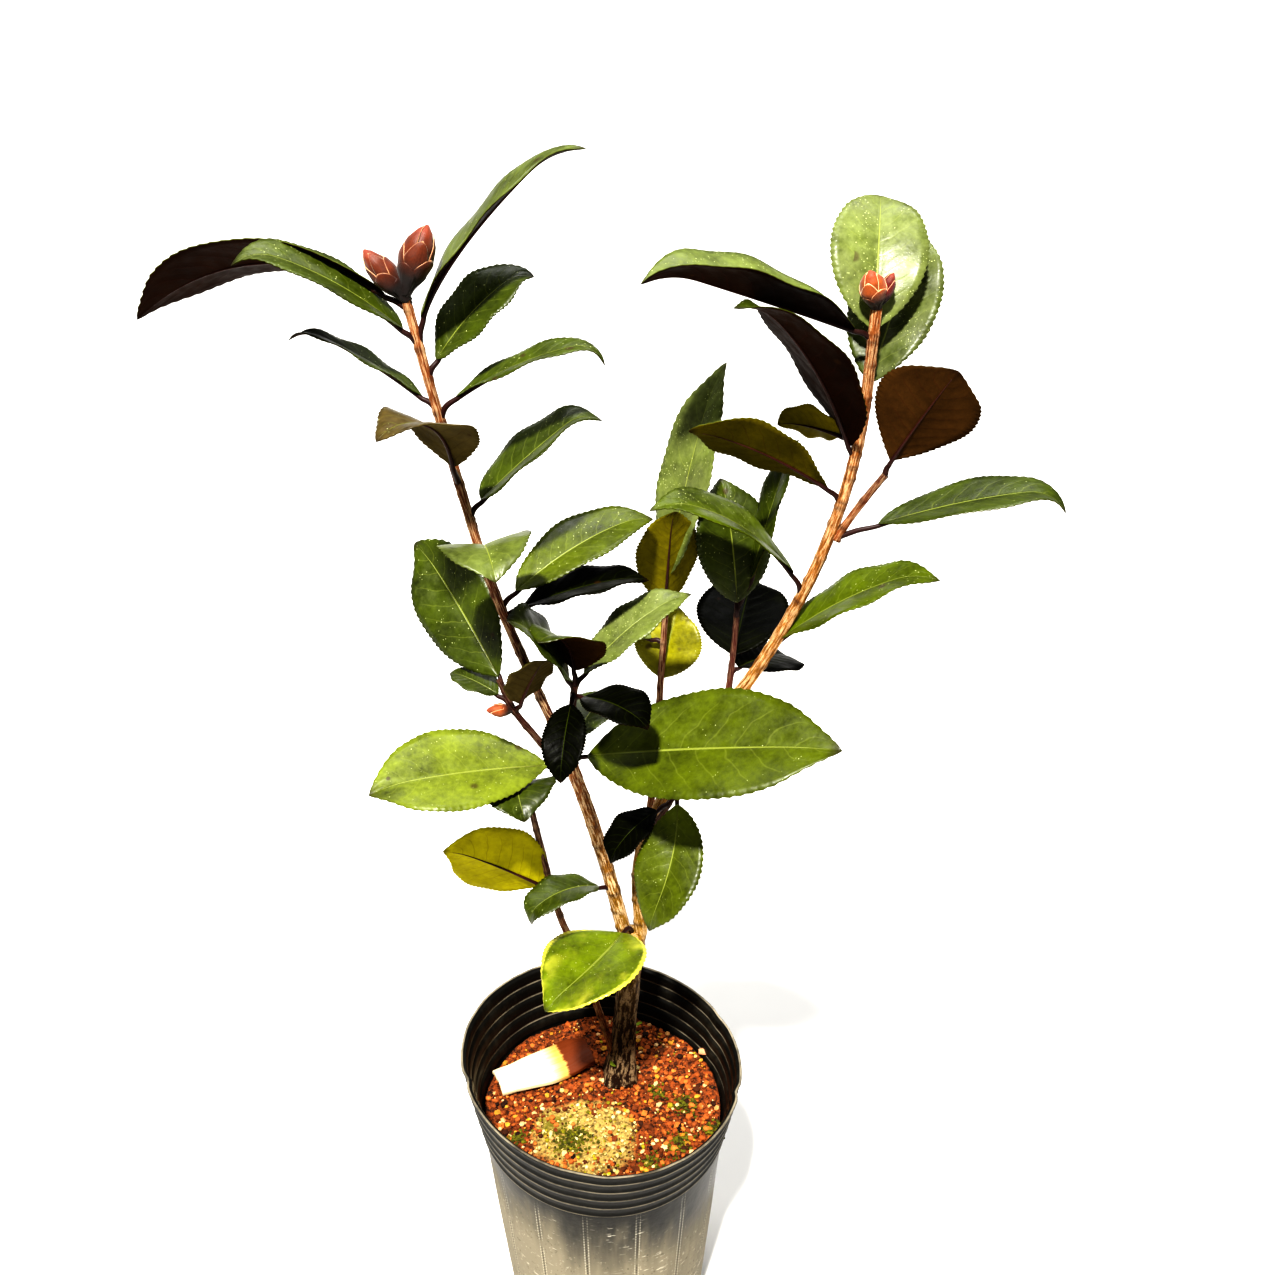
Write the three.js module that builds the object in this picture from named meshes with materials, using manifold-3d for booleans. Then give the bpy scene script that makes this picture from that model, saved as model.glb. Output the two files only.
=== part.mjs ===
import * as THREE from "three";
import { mergeVertices } from "three/addons/utils/BufferGeometryUtils.js";
import Module from "manifold-3d";

// A young camellia shrub in a soft black nursery pot.
// Millimetres, +Z up. The origin is the centre of the pot's flat underside.
// The photograph looks along +Y, with +X to its right.

const wasm = await Module();
wasm.setup();

const rad = THREE.MathUtils.degToRad;
const clamp01 = (x) => Math.min(1, Math.max(0, x));
const smooth = (a, b, x) => {
  const t = clamp01((x - a) / (b - a));
  return t * t * (3 - 2 * t);
};
const mix = (a, b, t) => a + (b - a) * t;

// Named sizes of the pot and what fills it
const potHeight = 142;
const rimRadius = 60.5;
const bandHeight = 31;
const bandFoot = 54.5;
const bodyTop = 53.4;
const baseRadius = 44;
const wall = 1.2;
const ribCount = 5;
const ribDepth = 0.9;
const rimTilt = 5;
const dentDepth = 0.05;
const dentHeading = 228;
const soilLevel = 115;
const clearance = 0.6;
const holeCount = 6;
const holeRadius = 4.5;
const holeRing = 28;

// The plant is measured from the middle of the soil, a little left of the underside's centre
const plantAt = new THREE.Vector3(-2, 0, soilLevel);

// A soft pot: pressed in at its front left, with its rim higher on the left
const warpPot = (p) => {
  const angle = Math.atan2(p.y, p.x);
  const up = clamp01(p.z / potHeight);
  const away = Math.cos(angle - rad(dentHeading));
  const dent = 1 - dentDepth * up * Math.max(0, away) ** 3;
  const r = Math.hypot(p.x, p.y);
  const wave = 1 + 0.006 * up * Math.sin(3 * angle + 1);
  p.x *= dent * wave;
  p.y *= dent * wave;
  p.z -= rimTilt * up ** 3 * Math.cos(angle + rad(10)) * clamp01(r / baseRadius);
  p.x += plantAt.x * up;
  return p;
};

const warpGeometry = (geometry, warp) => {
  const position = geometry.getAttribute("position");
  const p = new THREE.Vector3();
  for (let i = 0; i < position.count; i++) {
    warp(p.fromBufferAttribute(position, i));
    position.setXYZ(i, p.x, p.y, p.z);
  }
  return geometry;
};

// Closed shells

const signedVolume = (geometry) => {
  const position = geometry.getAttribute("position");
  const index = geometry.getIndex();
  const a = new THREE.Vector3();
  const b = new THREE.Vector3();
  const c = new THREE.Vector3();
  let sum = 0;
  for (let i = 0; i < index.count; i += 3) {
    a.fromBufferAttribute(position, index.getX(i));
    b.fromBufferAttribute(position, index.getX(i + 1));
    c.fromBufferAttribute(position, index.getX(i + 2));
    sum += a.dot(b.cross(c)) / 6;
  }
  return sum;
};

const shellFromIndex = (points, faces) => {
  const geometry = new THREE.BufferGeometry();
  geometry.setAttribute("position", new THREE.Float32BufferAttribute(points.flatMap((p) => [p.x, p.y, p.z]), 3));
  geometry.setIndex(faces.flat());
  if (signedVolume(geometry) < 0) {
    geometry.setIndex(faces.flatMap(([a, b, c]) => [a, c, b]));
  }
  return geometry;
};

// A closed skin over rings of equal count, with a fan on each end ring
const loft = (rings) => {
  const n = rings[0].length;
  const points = rings.flat();
  const faces = [];
  for (let r = 0; r + 1 < rings.length; r++) {
    for (let i = 0; i < n; i++) {
      const a = r * n + i;
      const b = r * n + (i + 1) % n;
      faces.push([a, b, b + n], [a, b + n, a + n]);
    }
  }
  for (const first of [0, (rings.length - 1) * n]) {
    const middle = new THREE.Vector3();
    for (let i = 0; i < n; i++) middle.addScaledVector(points[first + i], 1 / n);
    points.push(middle);
    const centre = points.length - 1;
    for (let i = 0; i < n; i++) {
      const a = first + i;
      const b = first + (i + 1) % n;
      faces.push(first === 0 ? [centre, b, a] : [centre, a, b]);
    }
  }
  return shellFromIndex(points, faces);
};

const toSolid = (geometry) => {
  const bare = geometry.clone();
  bare.deleteAttribute("normal");
  bare.deleteAttribute("uv");
  const merged = mergeVertices(bare, 1e-3);
  const mesh = new wasm.Mesh({
    numProp: 3,
    vertProperties: new Float32Array(merged.getAttribute("position").array),
    triVerts: new Uint32Array(merged.getIndex().array),
  });
  mesh.merge();
  return new wasm.Manifold(mesh);
};

const toGeometry = (solid) => {
  const mesh = solid.getMesh();
  const geometry = new THREE.BufferGeometry();
  geometry.setAttribute("position", new THREE.Float32BufferAttribute(mesh.vertProperties, 3));
  geometry.setIndex(Array.from(mesh.triVerts));
  return geometry;
};

// Joined pieces: the largest body is kept, and a hollow that joining seals is left out
const largestBody = (solid) => {
  const bodies = solid.decompose();
  bodies.sort((a, b) => b.volume() - a.volume());
  return bodies[0];
};

// Whether each edge of a skin lies between exactly two faces, told by where its ends are
const isCleanSkin = (geometry) => {
  const position = geometry.getAttribute("position");
  const index = geometry.getIndex();
  const keyOf = (i) => [position.getX(i), position.getY(i), position.getZ(i)].join();
  const counts = new Map();
  for (let i = 0; i < index.count; i += 3) {
    const keys = [0, 1, 2].map((k) => keyOf(index.getX(i + k)));
    for (let k = 0; k < 3; k++) {
      const ends = [keys[k], keys[(k + 1) % 3]].sort().join(" to ");
      counts.set(ends, (counts.get(ends) ?? 0) + 1);
    }
  }
  return [...counts.values()].every((count) => count === 2);
};

// Small faces left by joining are smoothed away, more of them each time the skin isn't clean
const fuse = (geometries) => {
  let joined = toSolid(geometries[0]);
  for (const geometry of geometries.slice(1)) joined = joined.add(toSolid(geometry));
  let geometry;
  for (const tolerance of [0.04, 0.06, 0.02, 0.09, 0.12]) {
    let solid = largestBody(joined.simplify(tolerance));
    for (let i = 0; i < 2; i++) solid = largestBody(toSolid(toGeometry(solid)).simplify(tolerance / 4));
    geometry = toGeometry(largestBody(toSolid(toGeometry(solid))));
    if (isCleanSkin(geometry)) break;
  }
  return geometry;
};

const materials = {
  pot: new THREE.MeshStandardMaterial({ color: 0x34332f, roughness: 0.55, metalness: 0 }),
  soil: new THREE.MeshStandardMaterial({ color: 0x9c5426, roughness: 0.95, metalness: 0 }),
  chip: new THREE.MeshStandardMaterial({ color: 0xe6d3a0, roughness: 0.7, metalness: 0 }),
  oldBark: new THREE.MeshStandardMaterial({ color: 0x8a6a2c, roughness: 0.9, metalness: 0 }),
  bark: new THREE.MeshStandardMaterial({ color: 0x9c643a, roughness: 0.85, metalness: 0 }),
  leaf: new THREE.MeshStandardMaterial({ color: 0x4f6b22, roughness: 0.4, metalness: 0 }),
};

const plant = new THREE.Group();
const meshes = {};
const addMesh = (name, geometry, material) => {
  geometry.computeVertexNormals();
  const mesh = new THREE.Mesh(geometry, material.clone());
  mesh.name = name;
  meshes[name] = mesh;
  plant.add(mesh);
  return mesh;
};

// Pot: a thin wall turned about the axis, ribbed inside and out below its rim
const ribWave = (t) => ribDepth * 0.5 * (1 - Math.cos(2 * Math.PI * ribCount * t));
const outerRadius = (z) => {
  const bandStart = potHeight - bandHeight;
  if (z < bandStart) return mix(baseRadius, bodyTop, z / bandStart);
  const t = (z - bandStart) / bandHeight;
  return mix(bandFoot, rimRadius, t) - ribWave(t);
};
const wallHeights = [0, 6, 58, potHeight - bandHeight - 0.4];
for (let i = 0; i <= ribCount * 2; i++) {
  wallHeights.push(potHeight - bandHeight + (bandHeight * i) / (ribCount * 2));
}
const potProfile = [new THREE.Vector2(0, 0)];
for (const z of wallHeights) potProfile.push(new THREE.Vector2(outerRadius(z), z));
for (const z of [...wallHeights].reverse()) {
  if (z > wall) potProfile.push(new THREE.Vector2(outerRadius(z) - wall, z));
}
potProfile.push(new THREE.Vector2(outerRadius(wall) - wall - 0.6, wall), new THREE.Vector2(0, wall));

// A lathe turns about +Y, so it is stood up along +Z before it is warped
const turned = (profile, segments) => {
  const geometry = new THREE.LatheGeometry(profile, segments);
  geometry.rotateX(Math.PI / 2);
  geometry.deleteAttribute("normal");
  geometry.deleteAttribute("uv");
  const merged = mergeVertices(geometry, 1e-4);
  if (signedVolume(merged) < 0) {
    const index = merged.getIndex();
    for (let i = 0; i < index.count; i += 3) {
      const b = index.getX(i + 1);
      index.setX(i + 1, index.getX(i + 2));
      index.setX(i + 2, b);
    }
  }
  return merged;
};

let potSolid = toSolid(warpGeometry(turned(potProfile, 36), warpPot));
for (let i = 0; i < holeCount; i++) {
  const hole = new THREE.CylinderGeometry(holeRadius, holeRadius, 8, 12);
  hole.rotateX(Math.PI / 2);
  const angle = (2 * Math.PI * i) / holeCount;
  hole.translate(holeRing * Math.cos(angle), holeRing * Math.sin(angle), 0);
  potSolid = potSolid.subtract(toSolid(hole));
}
addMesh("pot", toGeometry(potSolid), materials.pot);

// Soil: fills the pot to below its rim, with a low uneven top
const trunkSpot = new THREE.Vector2(8, 15);
const soilBumps = (x, y) =>
  smooth(9, 24, Math.hypot(x - trunkSpot.x, y - trunkSpot.y)) *
  (0.9 * Math.sin(x * 0.11 + 0.6) * Math.cos(y * 0.13) + 0.5 * Math.sin(x * 0.23 - y * 0.19));
const soilRadius = (z) => outerRadius(Math.min(z, potHeight - bandHeight - 1)) - wall - clearance;
const soilSides = 36;
const soilRing = (z, radius, bumps) => {
  const ring = [];
  for (let i = 0; i < soilSides; i++) {
    const angle = (2 * Math.PI * i) / soilSides;
    const p = new THREE.Vector3(radius * Math.cos(angle), radius * Math.sin(angle), z);
    if (bumps) p.z += soilBumps(p.x, p.y);
    ring.push(p);
  }
  return ring;
};
const soilRings = [soilRing(wall + clearance, 20, false)];
for (const z of [wall + clearance, 58, soilLevel - 5]) {
  soilRings.push(soilRing(z, soilRadius(z) - (z < 2 ? 0.8 : 0), false));
}
soilRings.push(soilRing(soilLevel - 1.5, soilRadius(soilLevel), true));
for (const share of [0.8, 0.5, 0.2]) {
  soilRings.push(soilRing(soilLevel, soilRadius(soilLevel) * share, true));
}
const warpSoil = (p) => {
  const level = p.z;
  warpPot(p);
  if (level > soilLevel - 3) p.z = level;
  return p;
};
addMesh("soil", warpGeometry(loft(soilRings), warpSoil), materials.soil);
const soilTopAt = (x, y) => soilLevel + soilBumps(x - plantAt.x, y);

// Strip of split wood lying on the soil, curved across its width and lifted at its inner end
const chipLength = 43;
const chipWidth = 18;
const chipThick = 2;
const chipCurve = 2;
const chipLift = 3;
const chipAt = new THREE.Vector2(-28.3, 17);
const chipTurn = rad(24);
const chipRings = [];
let chipFloor = 0;
for (let i = 0; i <= 8; i++) {
  const along = i / 8 - 0.5;
  const half = chipWidth * 0.5 * (0.78 + 0.3 * smooth(-0.5, 0.1, along) - 0.4 * smooth(0.3, 0.5, along));
  const ring = [];
  for (const [side, top] of [[-1, 1], [-0.4, 1], [0.4, 1], [1, 1], [1, 0], [0.4, 0], [-0.4, 0], [-1, 0]]) {
    const bow = chipCurve * (1 - side * side) + chipLift * smooth(0.1, 0.5, along);
    const p = new THREE.Vector3(along * chipLength, side * half, bow + top * chipThick);
    p.applyAxisAngle(new THREE.Vector3(0, 0, 1), chipTurn);
    p.x += chipAt.x;
    p.y += chipAt.y;
    chipFloor = Math.max(chipFloor, soilTopAt(p.x, p.y) + 0.5);
    ring.push(p);
  }
  chipRings.push(ring);
}
for (const p of chipRings.flat()) p.z += chipFloor;
addMesh("wood_strip", loft(chipRings), materials.chip);

// Limbs: short runs of nodes from the middle of the soil, with the radius at foot and tip
const limbs = {
  trunk: { nodes: [[8, 15, 0], [11, 15, 38], [14, 15, 84]], radii: [5, 4.9] },
  left_stem: { nodes: [[10.6, 14.5, 83.5], [4, 12, 118], [-4, 8, 153], [-10, 5, 177]], radii: [3, 2.6] },
  left_shoot: {
    nodes: [[-10, 5, 177], [-23, 0, 217], [-34, 0, 250], [-42, 0, 283], [-50, 0, 321], [-55.5, 0, 349]],
    radii: [1.9, 1.6],
  },
  right_stem: {
    nodes: [[17.2, 15.5, 83.5], [18, 16, 125], [38, 20, 174], [58, 20, 201], [76, 20, 237], [87, 20, 271], [92, 20, 301],
      [93.5, 20, 340]],
    radii: [2.9, 1.9],
  },
  right_side: { nodes: [[86, 20, 259], [94, 18, 273], [101, 17, 284]], radii: [1.5, 1.3] },
  right_low_twig: { nodes: [[21.5, 16, 137], [24.5, 12, 143], [31, 9, 158]], radii: [1.4, 1.2] },
  right_back_twig: { nodes: [[50, 20, 191], [53, 33, 209], [54, 38, 223]], radii: [1.4, 1.2] },
  back_stem: { nodes: [[20, 18, 135], [24, 30, 165], [25, 38, 187], [27, 42, 225]], radii: [1.6, 1.3] },
  low_left_stem: { nodes: [[6, 14, 14], [-8, 14, 68], [-17, 12, 99], [-27, 9, 161]], radii: [1.8, 1.3] },
  ring_twig: { nodes: [[-10.5, 4.6, 177], [-16.5, 1.6, 181], [-22.5, -0.8, 191], [-29, -3, 203], [-33, -4, 215]], radii: [1.5, 1.2] },
  centre_shoot: { nodes: [[-10.3, 4.8, 177.5], [-9.4, -0.5, 183], [-8, -4, 196], [-6, -8, 215]], radii: [1.6, 1.2] },
};
for (const limb of Object.values(limbs)) {
  const points = limb.nodes.map(([x, y, z]) => new THREE.Vector3(x, y, z).add(plantAt));
  limb.curve = new THREE.CatmullRomCurve3(points, false, "catmullrom", 0.5);
  limb.length = limb.curve.getLength();
}

const crossAxes = (t) => {
  const side = new THREE.Vector3(0, 1, 0).cross(t);
  if (side.lengthSq() < 0.05) side.set(1, 0, 0).cross(t);
  side.normalize();
  return [side, t.clone().cross(side).normalize()];
};

const limbRadius = (limb, share) => mix(limb.radii[0], limb.radii[1], share);

// A stretch of a limb as a tapering tube
const limbTube = (name, from, to, sides = 8, flare = 0) => {
  const limb = limbs[name];
  const steps = Math.max(2, Math.round(((to - from) * limb.length) / 14));
  const rings = [];
  for (let i = 0; i <= steps; i++) {
    const share = mix(from, to, i / steps);
    const centre = limb.curve.getPointAt(share);
    const [u, v] = crossAxes(limb.curve.getTangentAt(share));
    const radius = limbRadius(limb, share) + flare * (1 - i / steps) ** 5;
    const ring = [];
    for (let k = 0; k < sides; k++) {
      const angle = (2 * Math.PI * k) / sides;
      const knot = 1 + 0.06 * Math.sin(5 * angle + 7 * share);
      ring.push(centre.clone().addScaledVector(u, radius * knot * Math.cos(angle))
        .addScaledVector(v, radius * knot * Math.sin(angle)));
    }
    rings.push(ring);
  }
  return loft(rings);
};

// Leaves: heading 0 is +X and 90 is away from the viewer; rise is the blade's slope at its base.
// arch is how far the blade bends down along its length, sweep how far it turns, and roll how far
// its right edge drops. hook bends the drawn-out tip, and neck lifts the start of the petiole.
const leafDefaults = { broad: 0.5, bend: 1.3, cup: 13, hook: 15, neck: 25 };
const leaf = (limb, along, heading, rise, length, width, arch, sweep, roll, petiole, more = {}) =>
  ({ ...leafDefaults, limb, along, heading, rise, length, width, arch, sweep, roll, petiole, ...more });

const leafFrame = (row, s) => {
  const inPetiole = s < 0;
  const drop = inPetiole ? -row.neck * -s : row.arch * s ** row.bend + row.hook * smooth(0.72, 1, s);
  const e = rad(row.rise - drop);
  const h = rad(row.heading + (inPetiole ? 0 : row.sweep * s));
  const r = rad(row.roll * (inPetiole ? 1 + s : 1));
  const t = new THREE.Vector3(Math.cos(e) * Math.cos(h), Math.cos(e) * Math.sin(h), Math.sin(e));
  const level = new THREE.Vector3(Math.sin(h), -Math.cos(h), 0);
  const face = level.clone().cross(t);
  const side = level.clone().multiplyScalar(Math.cos(r)).addScaledVector(face, -Math.sin(r));
  const normal = face.clone().multiplyScalar(Math.cos(r)).addScaledVector(level, Math.sin(r));
  return { t, side, normal };
};

const leafHalfWidth = (row, s) => {
  if (s <= 0 || s >= 1) return 0;
  const q = s ** (Math.log(0.5) / Math.log(row.broad));
  return 0.5 * row.width * (4 * q * (1 - q)) ** 0.8 * (1 - 0.3 * smooth(0.78, 1, s));
};

const leafThick = 0.9;
const leafStations = [0.02, 0.16, 0.34, 0.52, 0.7, 0.87, 0.99];
const petioleSteps = 4;
const bladeSteps = 48;

// The midrib from the limb's axis to the tip, as points against s: -1 to 0 petiole, 0 to 1 blade
const midrib = (row) => {
  const p = limbs[row.limb].curve.getPointAt(row.along);
  const path = [{ s: -1, p: p.clone() }];
  for (let i = 0; i < petioleSteps; i++) {
    p.addScaledVector(leafFrame(row, -1 + (i + 0.5) / petioleSteps).t, row.petiole / petioleSteps);
    path.push({ s: -1 + (i + 1) / petioleSteps, p: p.clone() });
  }
  for (let i = 0; i < bladeSteps; i++) {
    p.addScaledVector(leafFrame(row, (i + 0.5) / bladeSteps).t, row.length / bladeSteps);
    path.push({ s: (i + 1) / bladeSteps, p: p.clone() });
  }
  return path;
};
const midribAt = (path, s) => {
  const next = path.findIndex((q) => q.s >= s - 1e-9);
  if (next <= 0) return path[Math.max(0, next)].p.clone();
  const [a, b] = [path[next - 1], path[next]];
  return a.p.clone().lerp(b.p, (s - a.s) / (b.s - a.s));
};

const bladeShell = (row, path) => {
  const rings = leafStations.map((s) => {
    const { side, normal } = leafFrame(row, s);
    const centre = midribAt(path, s);
    const half = Math.max(0.9, leafHalfWidth(row, s));
    const ring = [];
    const lay = (v, lift) => {
      const fold = Math.abs(v) * Math.tan(rad(row.cup)) * half * (1 - 0.3 * Math.abs(v));
      ring.push(centre.clone().addScaledVector(side, v * half).addScaledVector(normal, fold + lift));
    };
    for (const v of [-1, -0.5, 0, 0.5, 1]) lay(v, leafThick * (Math.abs(v) === 1 ? 0.3 : 0.5));
    for (const v of [1, 0, -1]) lay(v, -leafThick * (Math.abs(v) === 1 ? 0.3 : 0.5));
    return ring;
  });
  return loft(rings);
};

const petioleTube = (row, path, start) => {
  const rings = [];
  const stops = [start, mix(start, 0, 0.5), 0.02, 0.16];
  stops.forEach((s, i) => {
    const { side, normal } = leafFrame(row, Math.min(s, 0.2));
    const centre = midribAt(path, s).addScaledVector(normal, s > 0 ? -0.25 : 0);
    const radius = mix(1.05, 0.5, i / (stops.length - 1));
    const ring = [];
    for (let k = 0; k < 4; k++) {
      const angle = (Math.PI * (2 * k + 1)) / 4;
      ring.push(centre.clone().addScaledVector(side, radius * Math.cos(angle))
        .addScaledVector(normal, radius * Math.sin(angle)));
    }
    rings.push(ring);
  });
  return loft(rings);
};

// The least share, from low to high, at which a piece lies the gap clear of what carries it
const gap = 0.3;
const solidOf = (name) => toSolid(meshes[name].geometry);
const seated = (make, carriers, low, high) => {
  const solids = carriers.map(solidOf);
  for (let i = 0; i < 12; i++) {
    const middle = mix(low, high, 0.5);
    const piece = toSolid(make(middle));
    if (solids.every((solid) => piece.minGap(solid, 3) >= gap)) high = middle;
    else low = middle;
  }
  return high;
};

// A leaf's petiole and blade; a leaf that isn't fused to a stem starts clear of what carries it
const leafPieces = (row, carriers) => {
  const path = midrib(row);
  const tube = (start) => petioleTube(row, path, start);
  return [tube(carriers ? seated(tube, carriers, -1, -0.15) : -1), bladeShell(row, path)];
};

// A pointed bud of overlapping scales, as one plain form
const bud = (limb, along, heading, rise, length, radius) => {
  const foot = limbs[limb].curve.getPointAt(along);
  const e = rad(rise);
  const h = rad(heading);
  const t = new THREE.Vector3(Math.cos(e) * Math.cos(h), Math.cos(e) * Math.sin(h), Math.sin(e));
  const [u, v] = crossAxes(t);
  const rings = [[-0.12, 0.35], [0.08, 0.62], [0.3, 0.95], [0.5, 1], [0.72, 0.78], [0.9, 0.4], [1, 0.08]]
    .map(([s, share]) => {
      const ring = [];
      for (let k = 0; k < 8; k++) {
        const angle = (2 * Math.PI * k) / 8;
        ring.push(foot.clone().addScaledVector(t, s * length)
          .addScaledVector(u, share * radius * Math.cos(angle))
          .addScaledVector(v, share * radius * Math.sin(angle)));
      }
      return ring;
    });
  return loft(rings);
};

const along = (name, mm) => mm / limbs[name].length;

// The trunk, cut flat at the soil and flared at its foot
const trunkFoot = limbs.trunk.curve.getPointAt(0);
const trunkFloor = soilTopAt(trunkFoot.x, trunkFoot.y) + 0.3;
const trunkTube = toSolid(limbTube("trunk", 0, 1, 10, 3.2));
const trunkBox = new THREE.BoxGeometry(60, 60, 200);
trunkBox.translate(trunkFoot.x, trunkFoot.y, trunkFloor + 100);
addMesh("trunk", toGeometry(trunkTube.intersect(toSolid(trunkBox))), materials.oldBark);

// Bare limbs: name, what carries it, where its mass of foliage takes over, and sides
const addLimb = (name, carriers, to, sides) => {
  const tube = (from) => limbTube(name, from, to, sides);
  addMesh(name, tube(seated(tube, carriers, 0, 0.25)), materials.bark);
};
addLimb("left_stem", ["trunk"], 0.88, 8);
addLimb("right_stem", ["trunk"], 0.489, 8);
addLimb("back_stem", ["right_stem"], 0.55, 6);
addLimb("low_left_stem", ["trunk"], 0.6, 6);

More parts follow.
